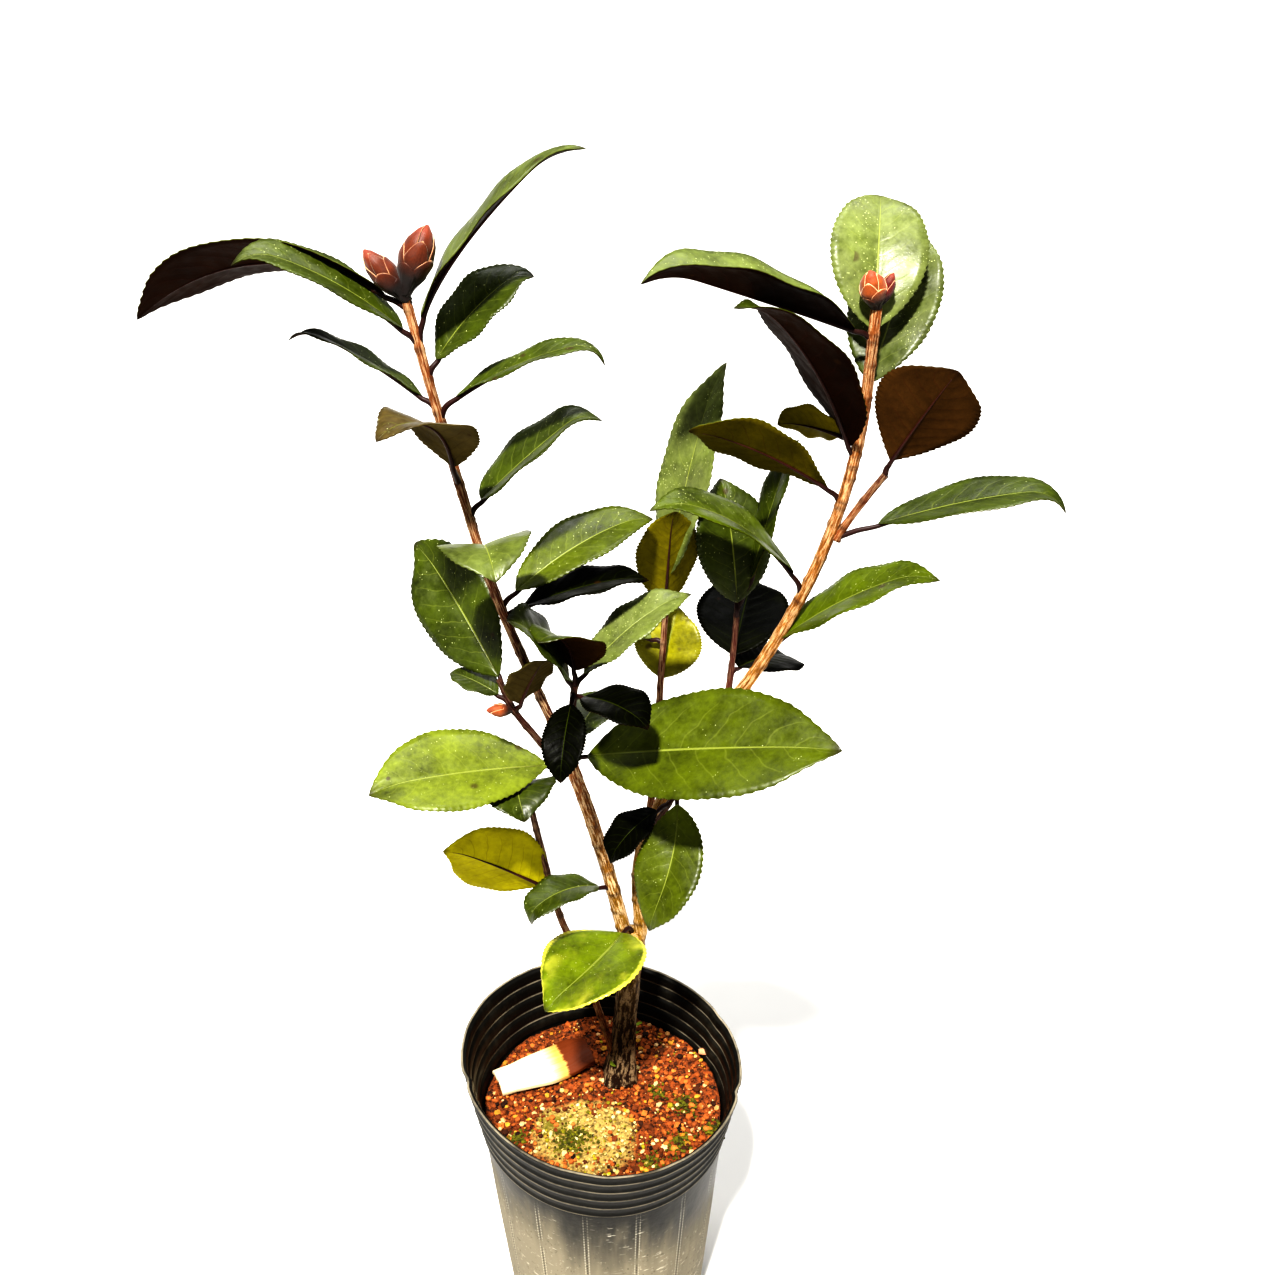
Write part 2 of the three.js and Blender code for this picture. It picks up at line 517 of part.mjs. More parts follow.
const foliage = {
  left_fork_foliage: {
    stem: ["left_stem", 0.88, 1],
    leaves: [
      leaf("left_stem", 0.96, 338, 18, 98, 46, 6, 0, 28, 9, { hook: 5, neck: 40 }),
      leaf("left_stem", 0.96, 200, 9, 67, 38, 12, 0, -18, 9, { neck: 0, broad: 0.54 }),
    ],
  },
  left_mid_foliage: {
    stem: ["left_shoot", 0.3, 0.53],
    leaves: [
      leaf("left_shoot", 0.47, 275, 48, 40, 30, 85, 15, 5, 7),
      leaf("left_shoot", 0.38, 28, 32, 58, 25, 30, 0, 12, 8),
      leaf("left_shoot", 0.36, 8, 20, 46, 24, 20, 0, -2, 7),
    ],
  },
  left_upper_foliage: {
    stem: ["left_shoot", 0.53, 0.72],
    leaves: [
      leaf("left_shoot", 0.645, 262, 71, 44, 28, 97, -46, 0, 9, { neck: -25 }),
      leaf("left_shoot", 0.572, 13, 42, 51, 26, 10, 0, 2, 8, { hook: 60, neck: 35, broad: 0.42, cup: 18 }),
    ],
  },
  left_top_foliage: {
    stem: ["left_shoot", 0.72, 1],
    leaves: [
      leaf("left_shoot", 0.902, 190, 42, 56, 24, 30, 5, -12, 8, { hook: 45 }),
      leaf("left_shoot", 0.97, 163, 30, 96, 30, 69, 5, 28, 9, { hook: 0, neck: 0, bend: 0.8 }),
      leaf("left_shoot", 0.9, 2, 80, 74, 26, 42, 0, 4, 10, { hook: 35, bend: 0.3, neck: 8 }),
      leaf("left_shoot", 0.845, 16, 53, 42, 23, 28, 0, 24, 7, { hook: 35 }),
      leaf("left_shoot", 0.785, 172, 35, 48, 12, 18, 0, 6, 7, { hook: 50 }),
      leaf("left_shoot", 0.762, 0, 31, 54, 14, 26, 0, 8, 11, { hook: 70, neck: 58 }),
    ],
    buds: [["left_shoot", 0.99, 182, 52, 18.5, 4.1], ["left_shoot", 1, 12, 66, 21.5, 5.2]],
  },
  left_twig_foliage: {
    stem: ["ring_twig", 0, 1],
    carriers: ["left_fork_foliage", "left_shoot"],
    leaves: [
      leaf("ring_twig", 0.88, 130, 42, 63, 32, 15, 0, -60, 6),
      leaf("ring_twig", 0.68, 318, 64, 28, 18, 12, 0, -15, 5, { neck: -10 }),
      leaf("ring_twig", 0.75, 160, 25, 20, 16, 20, 0, 0, 6),
    ],
    buds: [["ring_twig", 0.7, 196, 8, 10, 2.4]],
  },
  centre_foliage: {
    stem: ["centre_shoot", 0, 1],
    carriers: ["left_fork_foliage", "left_shoot"],
    leaves: [
      leaf("centre_shoot", 0.9, 222, 62, 41, 27, 20, 0, -30, 7),
      leaf("centre_shoot", 0.9, 262, -18, 30, 15, 50, 0, 0, 6),
      leaf("centre_shoot", 1, 246, 80, 33, 29, 80, -10, 0, 6),
      leaf("centre_shoot", 0.95, 20, 46, 48, 20, 30, 0, 8, 7),
      leaf("centre_shoot", 0.85, 320, 15, 30, 22, 40, 0, 0, 6),
      leaf("centre_shoot", 0.15, 60, 30, 26, 18, 30, 0, 0, 6),
    ],
  },
  low_left_foliage: {
    stem: ["low_left_stem", 0.6, 1],
    leaves: [
      leaf("low_left_stem", 0.97, 255, 50, 34, 28, 95, 40, 0, 7),
      leaf("low_left_stem", 0.64, 190, 36, 45, 40, 10, 0, 74, 5),
    ],
  },
  right_low_foliage: {
    stem: ["right_low_twig", 0, 1],
    carriers: ["right_stem"],
    leaves: [
      leaf("right_low_twig", 0.7, 215, -15, 28, 18, 45, 0, 0, 6),
      leaf("right_low_twig", 1, 272, -50, 50, 26, 10, -58, 0, 6, { neck: 60 }),
    ],
  },
  right_mid_foliage: {
    stem: ["right_stem", 0.489, 0.6746],
    leaves: [
      leaf("right_stem", 0.523, 345, 44, 64, 23, 26, 0, 12, 7, { hook: 30 }),
      leaf("right_stem", 0.606, 192, 52, 64, 25, 48, 0, -8, 12, { neck: 45, hook: 25 }),
    ],
  },
  right_upper_foliage: {
    stem: ["right_stem", 0.6746, 0.7773],
    twigs: [["right_side", 0, 1]],
    leaves: [
      leaf("right_stem", 0.746, 188, 34, 55, 27, 20, 0, 45, 9, { neck: 45, hook: 5, broad: 0.6 }),
      leaf("right_side", 1, 325, 62, 40, 36, 5, 0, -60, 5, { broad: 0.6, hook: 0 }),
      leaf("right_side", 0, 350, 22, 67, 23, 16, 0, 8, 16, { hook: 60, neck: 5 }),
    ],
  },
  right_top_foliage: {
    stem: ["right_stem", 0.7773, 1],
    leaves: [
      leaf("right_stem", 0.948, 82, 70, 52, 32, 45, 0, 6, 7),
      leaf("right_stem", 0.88, 56, 58, 56, 30, 10, 0, 10, 8),
      leaf("right_stem", 0.96, 190, 19, 74, 32, 2, 0, 0, 8, { neck: 30, cup: 40, bend: 1, hook: 35 }),
      leaf("right_stem", 0.802, 214, 63, 78, 34, 32, 0, 0, 8, { hook: 30 }),
      leaf("right_stem", 0.831, 155, 12, 24, 20, 20, 0, 50, 6),
    ],
    buds: [["right_stem", 1, 215, 70, 13, 4.3], ["right_stem", 1, 350, 68, 12, 2.6]],
  },
  back_foliage: {
    stem: ["back_stem", 0.55, 1],
    leaves: [
      leaf("back_stem", 1, 36, 78, 84, 25, 10, 0, 6, 8),
      leaf("back_stem", 0.93, 285, 82, 44, 24, 10, 0, 0, 4),
      leaf("back_stem", 0.6, 62, 66, 29, 27, 10, 0, 12, 4),
      leaf("back_stem", 0.8, 165, 5, 14, 10, 20, 0, 0, 5),
    ],
  },
  right_back_foliage: {
    stem: ["right_back_twig", 0, 1],
    carriers: ["right_stem"],
    leaves: [
      leaf("right_back_twig", 0.4, 76, 26, 42, 36, 12, 0, 0, 4),
      leaf("right_back_twig", 0.3, 48, -4, 34, 32, 20, 0, 8, 5, { neck: 40 }),
      leaf("right_back_twig", 0.9, 112, 78, 48, 31, 20, 0, 0, 6),
      leaf("right_back_twig", 1, 20, 76, 56, 16, 4, 0, 0, 12, { neck: -20 }),
    ],
  },
  front_leaf: { leafCarriers: ["trunk", "left_stem"], leaves: [leaf("trunk", 0.97, 246, 3, 48, 44, 28, -34, 8, 15, { neck: 80, broad: 0.46 })] },
  low_leaf: { leafCarriers: ["left_stem"], leaves: [leaf("left_stem", 0.25, 216, 30, 39, 18, 72, 0, 0, 9, { hook: 60, neck: 15 })] },
};

const addFoliage = (name, mass) => {
  const pieces = [];
  if (mass.stem) {
    const [limb, from, to] = mass.stem;
    const tube = (start) => limbTube(limb, start, to, 7);
    pieces.push(tube(mass.carriers ? seated(tube, mass.carriers, from, from + 0.5) : from + along(limb, gap)));
  }
  for (const [limb, from, to] of mass.twigs ?? []) pieces.push(limbTube(limb, from, to, 6));
  for (const row of mass.leaves) pieces.push(...leafPieces(row, mass.leafCarriers));
  for (const values of mass.buds ?? []) pieces.push(bud(...values));
  addMesh(name, fuse(pieces), materials.leaf);
};
for (const [name, mass] of Object.entries(foliage)) {
  addFoliage(name, mass);
  if (name === "left_fork_foliage") addLimb("left_shoot", [name], 0.3, 8);
}

export default plant;
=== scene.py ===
# A young camellia shrub in its nursery pot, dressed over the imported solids.
# Shapes are worked out in millimetres and turned into metres where a vertex is placed.
import math
import random

import bmesh
import bpy
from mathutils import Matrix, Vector, noise


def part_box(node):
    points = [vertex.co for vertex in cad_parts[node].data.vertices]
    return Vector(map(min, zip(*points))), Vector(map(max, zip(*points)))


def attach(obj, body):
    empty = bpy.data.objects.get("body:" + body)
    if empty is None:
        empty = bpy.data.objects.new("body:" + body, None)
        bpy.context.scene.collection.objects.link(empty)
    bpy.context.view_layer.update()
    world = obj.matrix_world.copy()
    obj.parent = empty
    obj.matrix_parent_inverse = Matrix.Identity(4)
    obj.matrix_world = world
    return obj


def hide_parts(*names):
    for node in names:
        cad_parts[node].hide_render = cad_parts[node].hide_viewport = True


bl_info = {
    "name": "Potted camellia shrub",
    "version": (1, 0, 0),
    "blender": (4, 5, 0),
    "location": "3D View > Sidebar > Shrub",
    "description": "Builds a young camellia shrub in its nursery pot over the packed solids",
    "category": "Add Mesh",
}

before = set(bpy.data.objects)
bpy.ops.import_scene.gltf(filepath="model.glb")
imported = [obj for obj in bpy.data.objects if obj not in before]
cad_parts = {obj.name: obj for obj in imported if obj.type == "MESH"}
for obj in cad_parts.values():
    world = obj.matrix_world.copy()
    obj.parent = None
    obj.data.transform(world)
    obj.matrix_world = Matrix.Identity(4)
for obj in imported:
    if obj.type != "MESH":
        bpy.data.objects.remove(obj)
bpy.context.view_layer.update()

MM = 0.001
TURN = 2 * math.pi

# The plant is measured from the middle of the soil, a little left of the underside's centre
PLANT_AT = Vector((-2, 0, 115))
POT_HEIGHT = 142
POT_BASE = 44
BLACK = (0, 0, 0, 1)


def linear(text):
    """The linear colour of an sRGB hex text."""
    parts = []
    for start in (1, 3, 5):
        c = int(text[start:start + 2], 16) / 255
        parts.append(c / 12.92 if c <= 0.04045 else ((c + 0.055) / 1.055) ** 2.4)
    return (*parts, 1.0)


def clamp01(x):
    return min(1.0, max(0.0, x))


def smooth(low, high, x):
    t = clamp01((x - low) / (high - low))
    return t * t * (3 - 2 * t)


def mix(a, b, t):
    return a + (b - a) * t


def mix_colour(a, b, t):
    return tuple(mix(x, y, t) for x, y in zip(a, b))


def tone_of(settings, name):
    return tuple(getattr(settings, name))


def colour(name, description, text):
    """A colour that a user can change."""
    return bpy.props.FloatVectorProperty(
        name=name, description=description, subtype="COLOR", size=4, min=0, max=1, default=linear(text)
    )


def count(name, description, number):
    """A number of things that a user can change."""
    return bpy.props.IntProperty(name=name, description=description, default=number)


def power(name, description, watts):
    """A lamp's power that a user can change."""
    return bpy.props.FloatProperty(name=name, description=description, default=watts, unit="POWER")


def length(name, description, millimetres):
    """A length that a user can change, held in metres."""
    return bpy.props.FloatProperty(
        name=name, description=description, unit="LENGTH", subtype="DISTANCE", default=millimetres * MM
    )


# Sizes and colours that a user may change


class PotSettings(bpy.types.PropertyGroup):
    height: length("Height", "Height of the pot's rim above the floor", POT_HEIGHT)
    rim_radius: length("Rim radius", "Outer radius of the rim before the pot is pressed out of round", 60.5)
    band_height: length("Band height", "Height of the ribbed band below the rim", 31)
    band_foot: length("Band foot radius", "Outer radius at the foot of the ribbed band", 54.5)
    body_top: length("Body top radius", "Outer radius of the plain body below the band", 53.4)
    base_radius: length("Base radius", "Radius of the flat underside", POT_BASE)
    wall: length("Wall", "Thickness of the pot's wall", 1.2)
    rib_depth: length("Rib depth", "How far the grooves between the ribs go in", 0.9)
    film: colour("Film", "Colour of the clean plastic film", "#0d0c09")
    dust: colour("Dust", "Colour of dried dust on the film", "#857d6a")


class SoilSettings(bpy.types.PropertyGroup):
    crumb_count: count("Crumbs", "Loose crumbs that lie on the soil", 2900)
    crumb_size: length("Crumb size", "Width of a middling crumb", 1.7)
    red: colour("Red soil", "Soil at the right and the back", "#8a451a")
    # Painted shade: the colour of the low spots in the soil's grain; some crumbs are darkened with it at
    # random too
    dark: colour("Dark soil", "Damp soil between the crumbs", "#140803")
    pale: colour("Pale soil", "Dry pale soil at the front", "#a88f4e")
    moss: colour("Moss", "Moss on the damp soil", "#5c5a0a")
    strip: colour("Strip", "Fresh face of the split wood", "#d9cba4")
    # Painted shadow: the brown end stands for the front leaf's shadow on the strip
    strip_shadow: colour("Strip end", "Weathered end of the split wood", "#5a2604")


class StemSettings(bpy.types.PropertyGroup):
    relief: length("Bark relief", "Height of the ridges in the bark", 0.28)
    # Painted shade: the near-black foot of the trunk stands for the front leaf's shadow on it
    damp: colour("Damp bark", "Bark at the trunk's foot", "#1c1004")
    old: colour("Old bark", "Bark of the trunk at its fork", "#8a6410")
    grown: colour("Grown bark", "Bark of the two main stems", "#8a4c20")
    # Young bark also darkens the left shoot's foot, where it is painted shade
    young: colour("Young bark", "Bark of this year's shoots", "#45180c")
    twig: colour("Twig bark", "Bark of the short dark twigs", "#340e08")
    # The pale streaks are partly split bark and partly painted highlight along the stems
    streak_and_highlight: colour("Bark streaks", "Pale streaks where the bark has split", "#e6c496")


class LeafSettings(bpy.types.PropertyGroup):
    thickness: length("Leaf thickness", "Thickness of a leaf blade", 0.36)
    tooth: length("Tooth", "How far the teeth stand out along a leaf's margin", 0.55)
    fresh: colour("Fresh green", "Sunlit full-grown leaves", "#3f4803")
    sage: colour("Sage green", "Dusty greyish leaves", "#4c5524")
    deep: colour("Deep green", "Darker leaves between the shoots", "#2f3806")
    # Painted shade: the leaves in the middle of the shrub are darkened almost to black for the shadow that
    # falls on them
    shade: colour("Shaded green", "Old leaves in the middle of the shrub", "#050601")
    lit: colour("Light green", "The broad leaf at the left of the fork", "#5e681a")
    grass: colour("Grass green", "Clean leaves of the right shoot", "#3f4a03")
    ripe: colour("Ripe yellow", "A leaf that is turning yellow", "#726f05")
    amber: colour("Amber back", "Thin undersides that the sun shines on", "#625a08")
    # Painted light: the gold stands for the sun shining through this thin underside
    gold_sunlit_back: colour("Gold back", "The lowest left leaf's underside", "#948c0c")
    bright: colour("Bright green", "The lowest leaf over the pot", "#536004")
    brown: colour("Brown back", "Undersides of the upper leaves", "#1c0c03")
    beige: colour("Beige back", "Undersides of young leaves", "#473c1e")
    olive: colour("Olive back", "Undersides of grown leaves", "#433b03")
    wine: colour("Wine back", "Underside of the youngest round leaf", "#33200a")
    mustard: colour("Mustard back", "Thin old undersides", "#5c5203")
    rib_light: colour("Light rib", "Midribs on the upper faces", "#788034")
    rib_red: colour("Red rib", "Midribs on the undersides", "#2e0f06")
    stalk: colour("Leaf stalk", "Leaf stalks", "#240c08")


class BudSettings(bpy.types.PropertyGroup):
    scales: count("Scales", "Scales laid over each flower bud", 11)
    red: colour("Red scale", "Scales of the left shoot's buds", "#4f1f08")
    pale: colour("Pale scale", "Scales of the right shoot's bud", "#86421a")
    dark: colour("Dark scale", "Scales of the narrow leaf bud", "#4e1008")
    edge: colour("Scale edge", "Dry edges of the scales", "#e0b084")
    tip: colour("Bud tip", "Pinker tips of the buds", "#883c26")


class StageSettings(bpy.types.PropertyGroup):
    floor: colour("Floor", "Plain pale floor", "#d6d5d2")
    key_power: power("Key light", "Power of the main light", 118)
    fill_power: power("Fill light", "Power of the fill light", 1)
    backdrop_power: power("Backdrop light", "Power of the light on the backdrop", 80)
    sky: bpy.props.FloatProperty(name="Sky", description="Strength of the even light all round", default=0.14)


# Node graphs

# Fixed colours of small marks; the colours that a user may change are settings above
MARKS = {
    "yellowed": linear("#dcd650"),
    "rust_spot": linear("#2e1c0a"),
    "lime_dot": linear("#b4ba80"),
    "leaf_dust": linear("#8b9160"),
    "dry_tip": linear("#180c05"),
    "bark_fleck": linear("#260e05"),
    "bark_gap": linear("#2c1207"),
    "leaf_scar": linear("#220d05"),
    "chalk": linear("#c8c1ac"),
    "pit": linear("#1a1712"),
    "scratch": linear("#d6cfbb"),
    "worn_rib_and_highlight": linear("#938a76"),
    "seam_edge": linear("#cfc8b4"),
    "seam": linear("#24211b"),
    "pale_soil_gap": linear("#3e2c0e"),
    "wood_grain": linear("#a8884c"),
    "strip_shadow_edge": linear("#b07c1c"),
}


class Wire:
    """A node's output. Sums and products of wires add the nodes that work them out."""

    def __init__(self, graph, socket):
        self.graph = graph
        self.socket = socket

    def __add__(self, other):
        return self.graph.math("ADD", self, other)

    def __sub__(self, other):
        return self.graph.math("SUBTRACT", self, other)

    def __rsub__(self, other):
        return self.graph.math("SUBTRACT", other, self)

    def __mul__(self, other):
        return self.graph.math("MULTIPLY", self, other)

    def __truediv__(self, other):
        return self.graph.math("DIVIDE", self, other)

    def __pow__(self, power):
        return self.graph.math("POWER", self, power)

    def __abs__(self):
        return self.graph.math("ABSOLUTE", self)


class Graph:
    """Short calls that add nodes to a tree and join them."""

    def __init__(self, tree):
        self.nodes = tree.nodes
        self.links = tree.links

    def put(self, socket, value):
        if isinstance(value, Wire):
            self.links.new(value.socket, socket)
        else:
            socket.default_value = value

    def fill(self, sockets, values):
        for key, value in values.items():
            self.put(sockets[key], value)

    def add(self, kind, values=None, **settings):
        node = self.nodes.new("ShaderNode" + kind)
        for key, value in settings.items():
            setattr(node, key, value)
        self.fill(node.inputs, values or {})
        return node

    def wire(self, kind, values, output=0, **settings):
        return Wire(self, self.add(kind, values, **settings).outputs[output])

    def math(self, operation, a, b=0.0):
        return self.wire("Math", {0: a, 1: b}, operation=operation)

    def scale(self, vector, factors):
        return self.wire("VectorMath", {0: vector, 1: factors}, operation="MULTIPLY")

    def mix(self, factor, a, b):
        return self.wire("Mix", {0: factor, 6: a, 7: b}, output=2, data_type="RGBA")

    def ramp(self, value, low, high, to_low=0.0, to_high=1.0):
        values = {"Value": value, "From Min": low, "From Max": high, "To Min": to_low, "To Max": to_high}
        return self.wire("MapRange", values, interpolation_type="SMOOTHSTEP")

    def noise(self, vector, scale, detail=2.0, roughness=0.5):
        values = {"Vector": vector, "Scale": scale, "Detail": detail, "Roughness": roughness}
        return self.wire("TexNoise", values)

    def read(self, name, output="Vector"):
        """What the mesh carries on its vertices under a name."""
        return self.wire("Attribute", {}, output=output, attribute_name=name)

    def spot(self):
        return self.wire("TexCoord", {}, output="Object")

    def parts(self, vector):
        return [Wire(self, part) for part in self.add("SeparateXYZ", {0: vector}).outputs]

    def group(self, name, **values):
        node = self.add("Group", node_tree=bpy.data.node_groups[name])
        self.fill(node.inputs, {key.capitalize(): value for key, value in values.items()})
        return {output.name: Wire(self, output) for output in node.outputs}

    def dress(self, shader, base, roughness, height, strength, distance):
        """Joins a colour, a roughness and a relief, whose distance is in metres, to a shader."""
        relief = self.wire("Bump", {"Height": height, "Strength": strength, "Distance": distance})
        self.fill(shader, {"Base Color": base, "Roughness": roughness, "Normal": relief})


def start_group(name, inputs, outputs):
    """An empty node group with named sockets: its graph, what it is given and what it puts out."""
    tree = bpy.data.node_groups.new(name, "ShaderNodeTree")
    for label, kind, default in inputs:
        socket = tree.interface.new_socket(name=label, in_out="INPUT", socket_type="NodeSocket" + kind)
        if default is not None:
            socket.default_value = default
    for label, kind in outputs:
        tree.interface.new_socket(name=label, in_out="OUTPUT", socket_type="NodeSocket" + kind)
    graph = Graph(tree)
    given = {output.name: Wire(graph, output) for output in tree.nodes.new("NodeGroupInput").outputs}
    return graph, given, tree.nodes.new("NodeGroupOutput").inputs


def start_material(name):
    """A material with an empty Principled shader: its graph and the shader's inputs."""
    material = bpy.data.materials.new(name)
    material.use_nodes = True
    shader = material.node_tree.nodes["Principled BSDF"].inputs
    shader["Specular IOR Level"].default_value = 0.2
    return Graph(material.node_tree), shader


VEIN_PAIRS = 9


def make_vein_group():
    """Veins of a leaf from its place: x runs from edge to edge, y from stalk to tip."""
    graph, given, out = start_group(
        "Leaf veins",
        [("Place", "Vector", None), ("Pairs", "Float", VEIN_PAIRS)],
        [("Midrib", "Float"), ("Veins", "Float"), ("Margin", "Float"), ("Tip", "Float"), ("Height", "Float")],
    )
    across, along, _ = graph.parts(given["Place"])
    wobble = graph.noise(graph.scale(given["Place"], (2.0, 6.0, 1.0)), 1.6, 1.0)
    away = abs(across)
    width = graph.ramp(along, 0.0, 1.0, 0.036, 0.014)
    rib = 1.0 - graph.ramp(away, width * 0.35, width)
    step = graph.math("SIGN", across) * 0.022
    shifted = along - away**1.35 * 0.2 + step + wobble * 0.05
    saw = abs(graph.math("FRACT", shifted * given["Pairs"]) - 0.5)
    fade = 1.0 - graph.ramp(away, 0.55, 0.92)
    graph.fill(out, {
        "Midrib": rib,
        "Veins": (1.0 - graph.ramp(saw, 0.0, 0.055)) * fade,
        "Margin": graph.ramp(away, 0.8, 1.0),
        "Tip": graph.ramp(along, 0.93, 1.0),
        "Height": saw**0.6 * fade - rib * 1.2,
    })


def make_mottle_group():
    """Broad and fine clouds of light and dark over a colour."""
    graph, given, out = start_group(
        "Mottle",
        [
            ("Colour", "Color", None), ("Vector", "Vector", None),
            ("Scale", "Float", 100.0), ("Amount", "Float", 0.3),
        ],
        [("Colour", "Color"), ("Value", "Float")],
    )
    broad = graph.noise(given["Vector"], given["Scale"], 3.0)
    fine = graph.noise(given["Vector"], given["Scale"] * 6.0, 2.0, 0.65)
    value = broad * 0.65 + fine * 0.35
    factor = (value - 0.5) * given["Amount"] * 4.0 + 1.0
    clouded = graph.wire("VectorMath", {0: given["Colour"], 3: factor}, operation="SCALE")
    graph.fill(out, {"Colour": clouded, "Value": value})


def make_speck_group():
    """Small scattered spots of uneven size."""
    graph, given, out = start_group(
        "Specks",
        [("Vector", "Vector", None), ("Scale", "Float", 700.0), ("Amount", "Float", 0.5)],
        [("Mask", "Float")],
    )
    cells = graph.add("TexVoronoi", {"Vector": given["Vector"], "Scale": given["Scale"]}).outputs
    chance, breadth, _ = graph.parts(Wire(graph, cells["Color"]))
    kept = graph.math("LESS_THAN", chance, given["Amount"] * 0.6)
    size = breadth * 0.2 + 0.12
    spot = 1.0 - graph.ramp(Wire(graph, cells["Distance"]), size * 0.5, size)
    graph.fill(out, {"Mask": spot * kept})


def make_dust_group():
    """Dry dust that gathers in clouds and scuffs."""
    graph, given, out = start_group(
        "Dust",
        [("Vector", "Vector", None), ("Scale", "Float", 30.0), ("Cover", "Float", 0.4)],
        [("Mask", "Float")],
    )
    cloud = graph.noise(given["Vector"], given["Scale"], 5.0, 0.62)
    scuff = graph.noise(graph.scale(given["Vector"], (1.0, 1.0, 0.35)), given["Scale"] * 7.0, 3.0)
    edge = 0.8 - given["Cover"] * 0.6
    graph.fill(out, {"Mask": graph.ramp(cloud * 0.7 + scuff * 0.3, edge - 0.16, edge + 0.16)})


# A leaf face's clouding, the strength of its side veins, its relief, and its least and most roughness
UPPER_LOOKS = (0.75, 0.2, 0.5, 0.3, 0.48)
UNDER_LOOKS = (0.45, 0.3, -0.9, 0.5, 0.7)


def make_leaf_material(name, upper):
    """Glossy upper faces with sunken light veins, or duller undersides with raised ones."""
    graph, shader = start_material(name)
    place = graph.read("place")
    tone = graph.read("tone", "Color")
    specks, margin, age = graph.parts(graph.read("trait"))
    spot = graph.spot()
    veins = graph.group("Leaf veins", place=place)
    clouding, side_veins, relief, smoothest, dullest = UPPER_LOOKS if upper else UNDER_LOOKS
    base = graph.group("Mottle", colour=tone, vector=spot, scale=80.0, amount=clouding)["Colour"]
    vein = graph.math("MAXIMUM", veins["Midrib"] * 0.85, veins["Veins"] * side_veins)
    base = graph.mix(vein, base, graph.read("line", "Color"))

    yellow = graph.ramp(veins["Margin"] + graph.noise(spot, 170.0, 3.0) * 0.9, 0.85, 1.5)
    blotch = graph.ramp(graph.noise(spot, 85.0, 3.0), 0.5, 0.7) * 0.7 * abs(graph.parts(place)[0]) ** 2.5
    yellow = graph.math("MAXIMUM", yellow, blotch) * margin
    base = graph.mix(yellow * 0.85, base, MARKS["yellowed"])
    rust = graph.group("Specks", vector=spot, scale=130.0, amount=age)["Mask"]
    base = graph.mix(rust * 0.7, base, MARKS["rust_spot"])
    shine = 0.02
    if upper:
        patches = graph.ramp(graph.noise(spot, 95.0, 3.0), 0.4, 0.62)
        dots = graph.group("Specks", vector=spot, scale=1150.0, amount=patches * (specks * 1.7))["Mask"]
        base = graph.mix(dots * 0.75, base, MARKS["lime_dot"])
        film = graph.group("Dust", vector=spot, scale=60.0, cover=specks * 0.6)["Mask"]
        base = graph.mix(film * 0.2, base, MARKS["leaf_dust"])
        shine = graph.ramp(graph.parts(tone)[1], 0.002, 0.03, 0.03, 0.25)
    base = graph.mix(veins["Tip"] * 0.7, base, MARKS["dry_tip"])

    roughness = graph.ramp(graph.noise(spot, 240.0, 3.0), 0.2, 0.8, smoothest, dullest)
    graph.put(shader["Specular IOR Level"], shine)
    skin = graph.noise(spot, 900.0, 2.0) * 0.35
    graph.dress(shader, base, roughness, veins["Height"] * relief + skin, 0.5, 0.0004)


def make_clouded_material(name, scale, amount, smoothest, dullest, strength, distance):
    """A plain finish whose colour the mesh carries: leaf stalks, and the crumbs on the soil."""
    graph, shader = start_material(name)
    tone = graph.read("tone", "Color")
    mottled = graph.group("Mottle", colour=tone, vector=graph.spot(), scale=scale, amount=amount)
    roughness = graph.ramp(mottled["Value"], 0.2, 0.8, smoothest, dullest)
    graph.dress(shader, mottled["Colour"], roughness, mottled["Value"], strength, distance)


def make_bark_material():
    """Bark with long pale streaks, partly split bark and partly painted highlight, dark flecks and fine
    ridges that follow the stem.
    """
    graph, shader = start_material("stem_bark")
    place = graph.read("place")
    tone = graph.read("tone", "Color")
    streaks, flecks, scar = graph.parts(graph.read("trait"))
    ridge = graph.noise(graph.scale(place, (2.2, 2.2, 0.1)), 1.6, 4.0, 0.66)
    fine = graph.noise(graph.scale(place, (3.4, 3.4, 0.6)), 2.2, 3.0, 0.7)
    base = graph.group("Mottle", colour=tone, vector=place, scale=0.35, amount=0.3)["Colour"]
    # Pale streaks along the ridges: partly split bark, partly painted highlight
    base = graph.mix(graph.ramp(ridge, 0.47, 0.57) * streaks, base, graph.read("line", "Color"))
    base = graph.mix((1.0 - graph.ramp(fine, 0.36, 0.46)) * flecks, base, MARKS["bark_fleck"])
    base = graph.mix((1.0 - graph.ramp(ridge, 0.34, 0.45)) * 0.75, base, MARKS["bark_gap"])
    base = graph.mix(scar * 0.7, base, MARKS["leaf_scar"])
    roughness = graph.ramp(fine, 0.2, 0.8, 0.55, 0.85)
    graph.dress(shader, base, roughness, ridge * 0.8 + fine * 0.3, 0.9, 0.0009)


def make_bud_material():
    """Silky bud scales that fade to a dry pale edge."""
    graph, shader = start_material("bud_scale")
    tone = graph.read("tone", "Color")
    edge = graph.parts(graph.read("trait"))[0]
    mottled = graph.group("Mottle", colour=tone, vector=graph.spot(), scale=260.0, amount=0.5)
    threads = graph.noise(graph.scale(graph.read("place"), (9.0, 0.9, 1.0)), 2.0, 2.0)
    rim = graph.ramp(edge + (threads - 0.5) * 0.5, 0.62, 1.0)
    base = graph.mix(rim * 0.85, mottled["Colour"], graph.read("line", "Color"))
    shader["Sheen Weight"].default_value = 0.15
    graph.dress(shader, base, graph.ramp(threads, 0.2, 0.8, 0.38, 0.6), threads, 0.35, 0.0003)


# The pot's upright seams: how many, how far the first is turned, and their dots per metre of height
SEAM_COUNT = 15
SEAM_TURN = 0.583
SEAM_DOTS = 3400.0


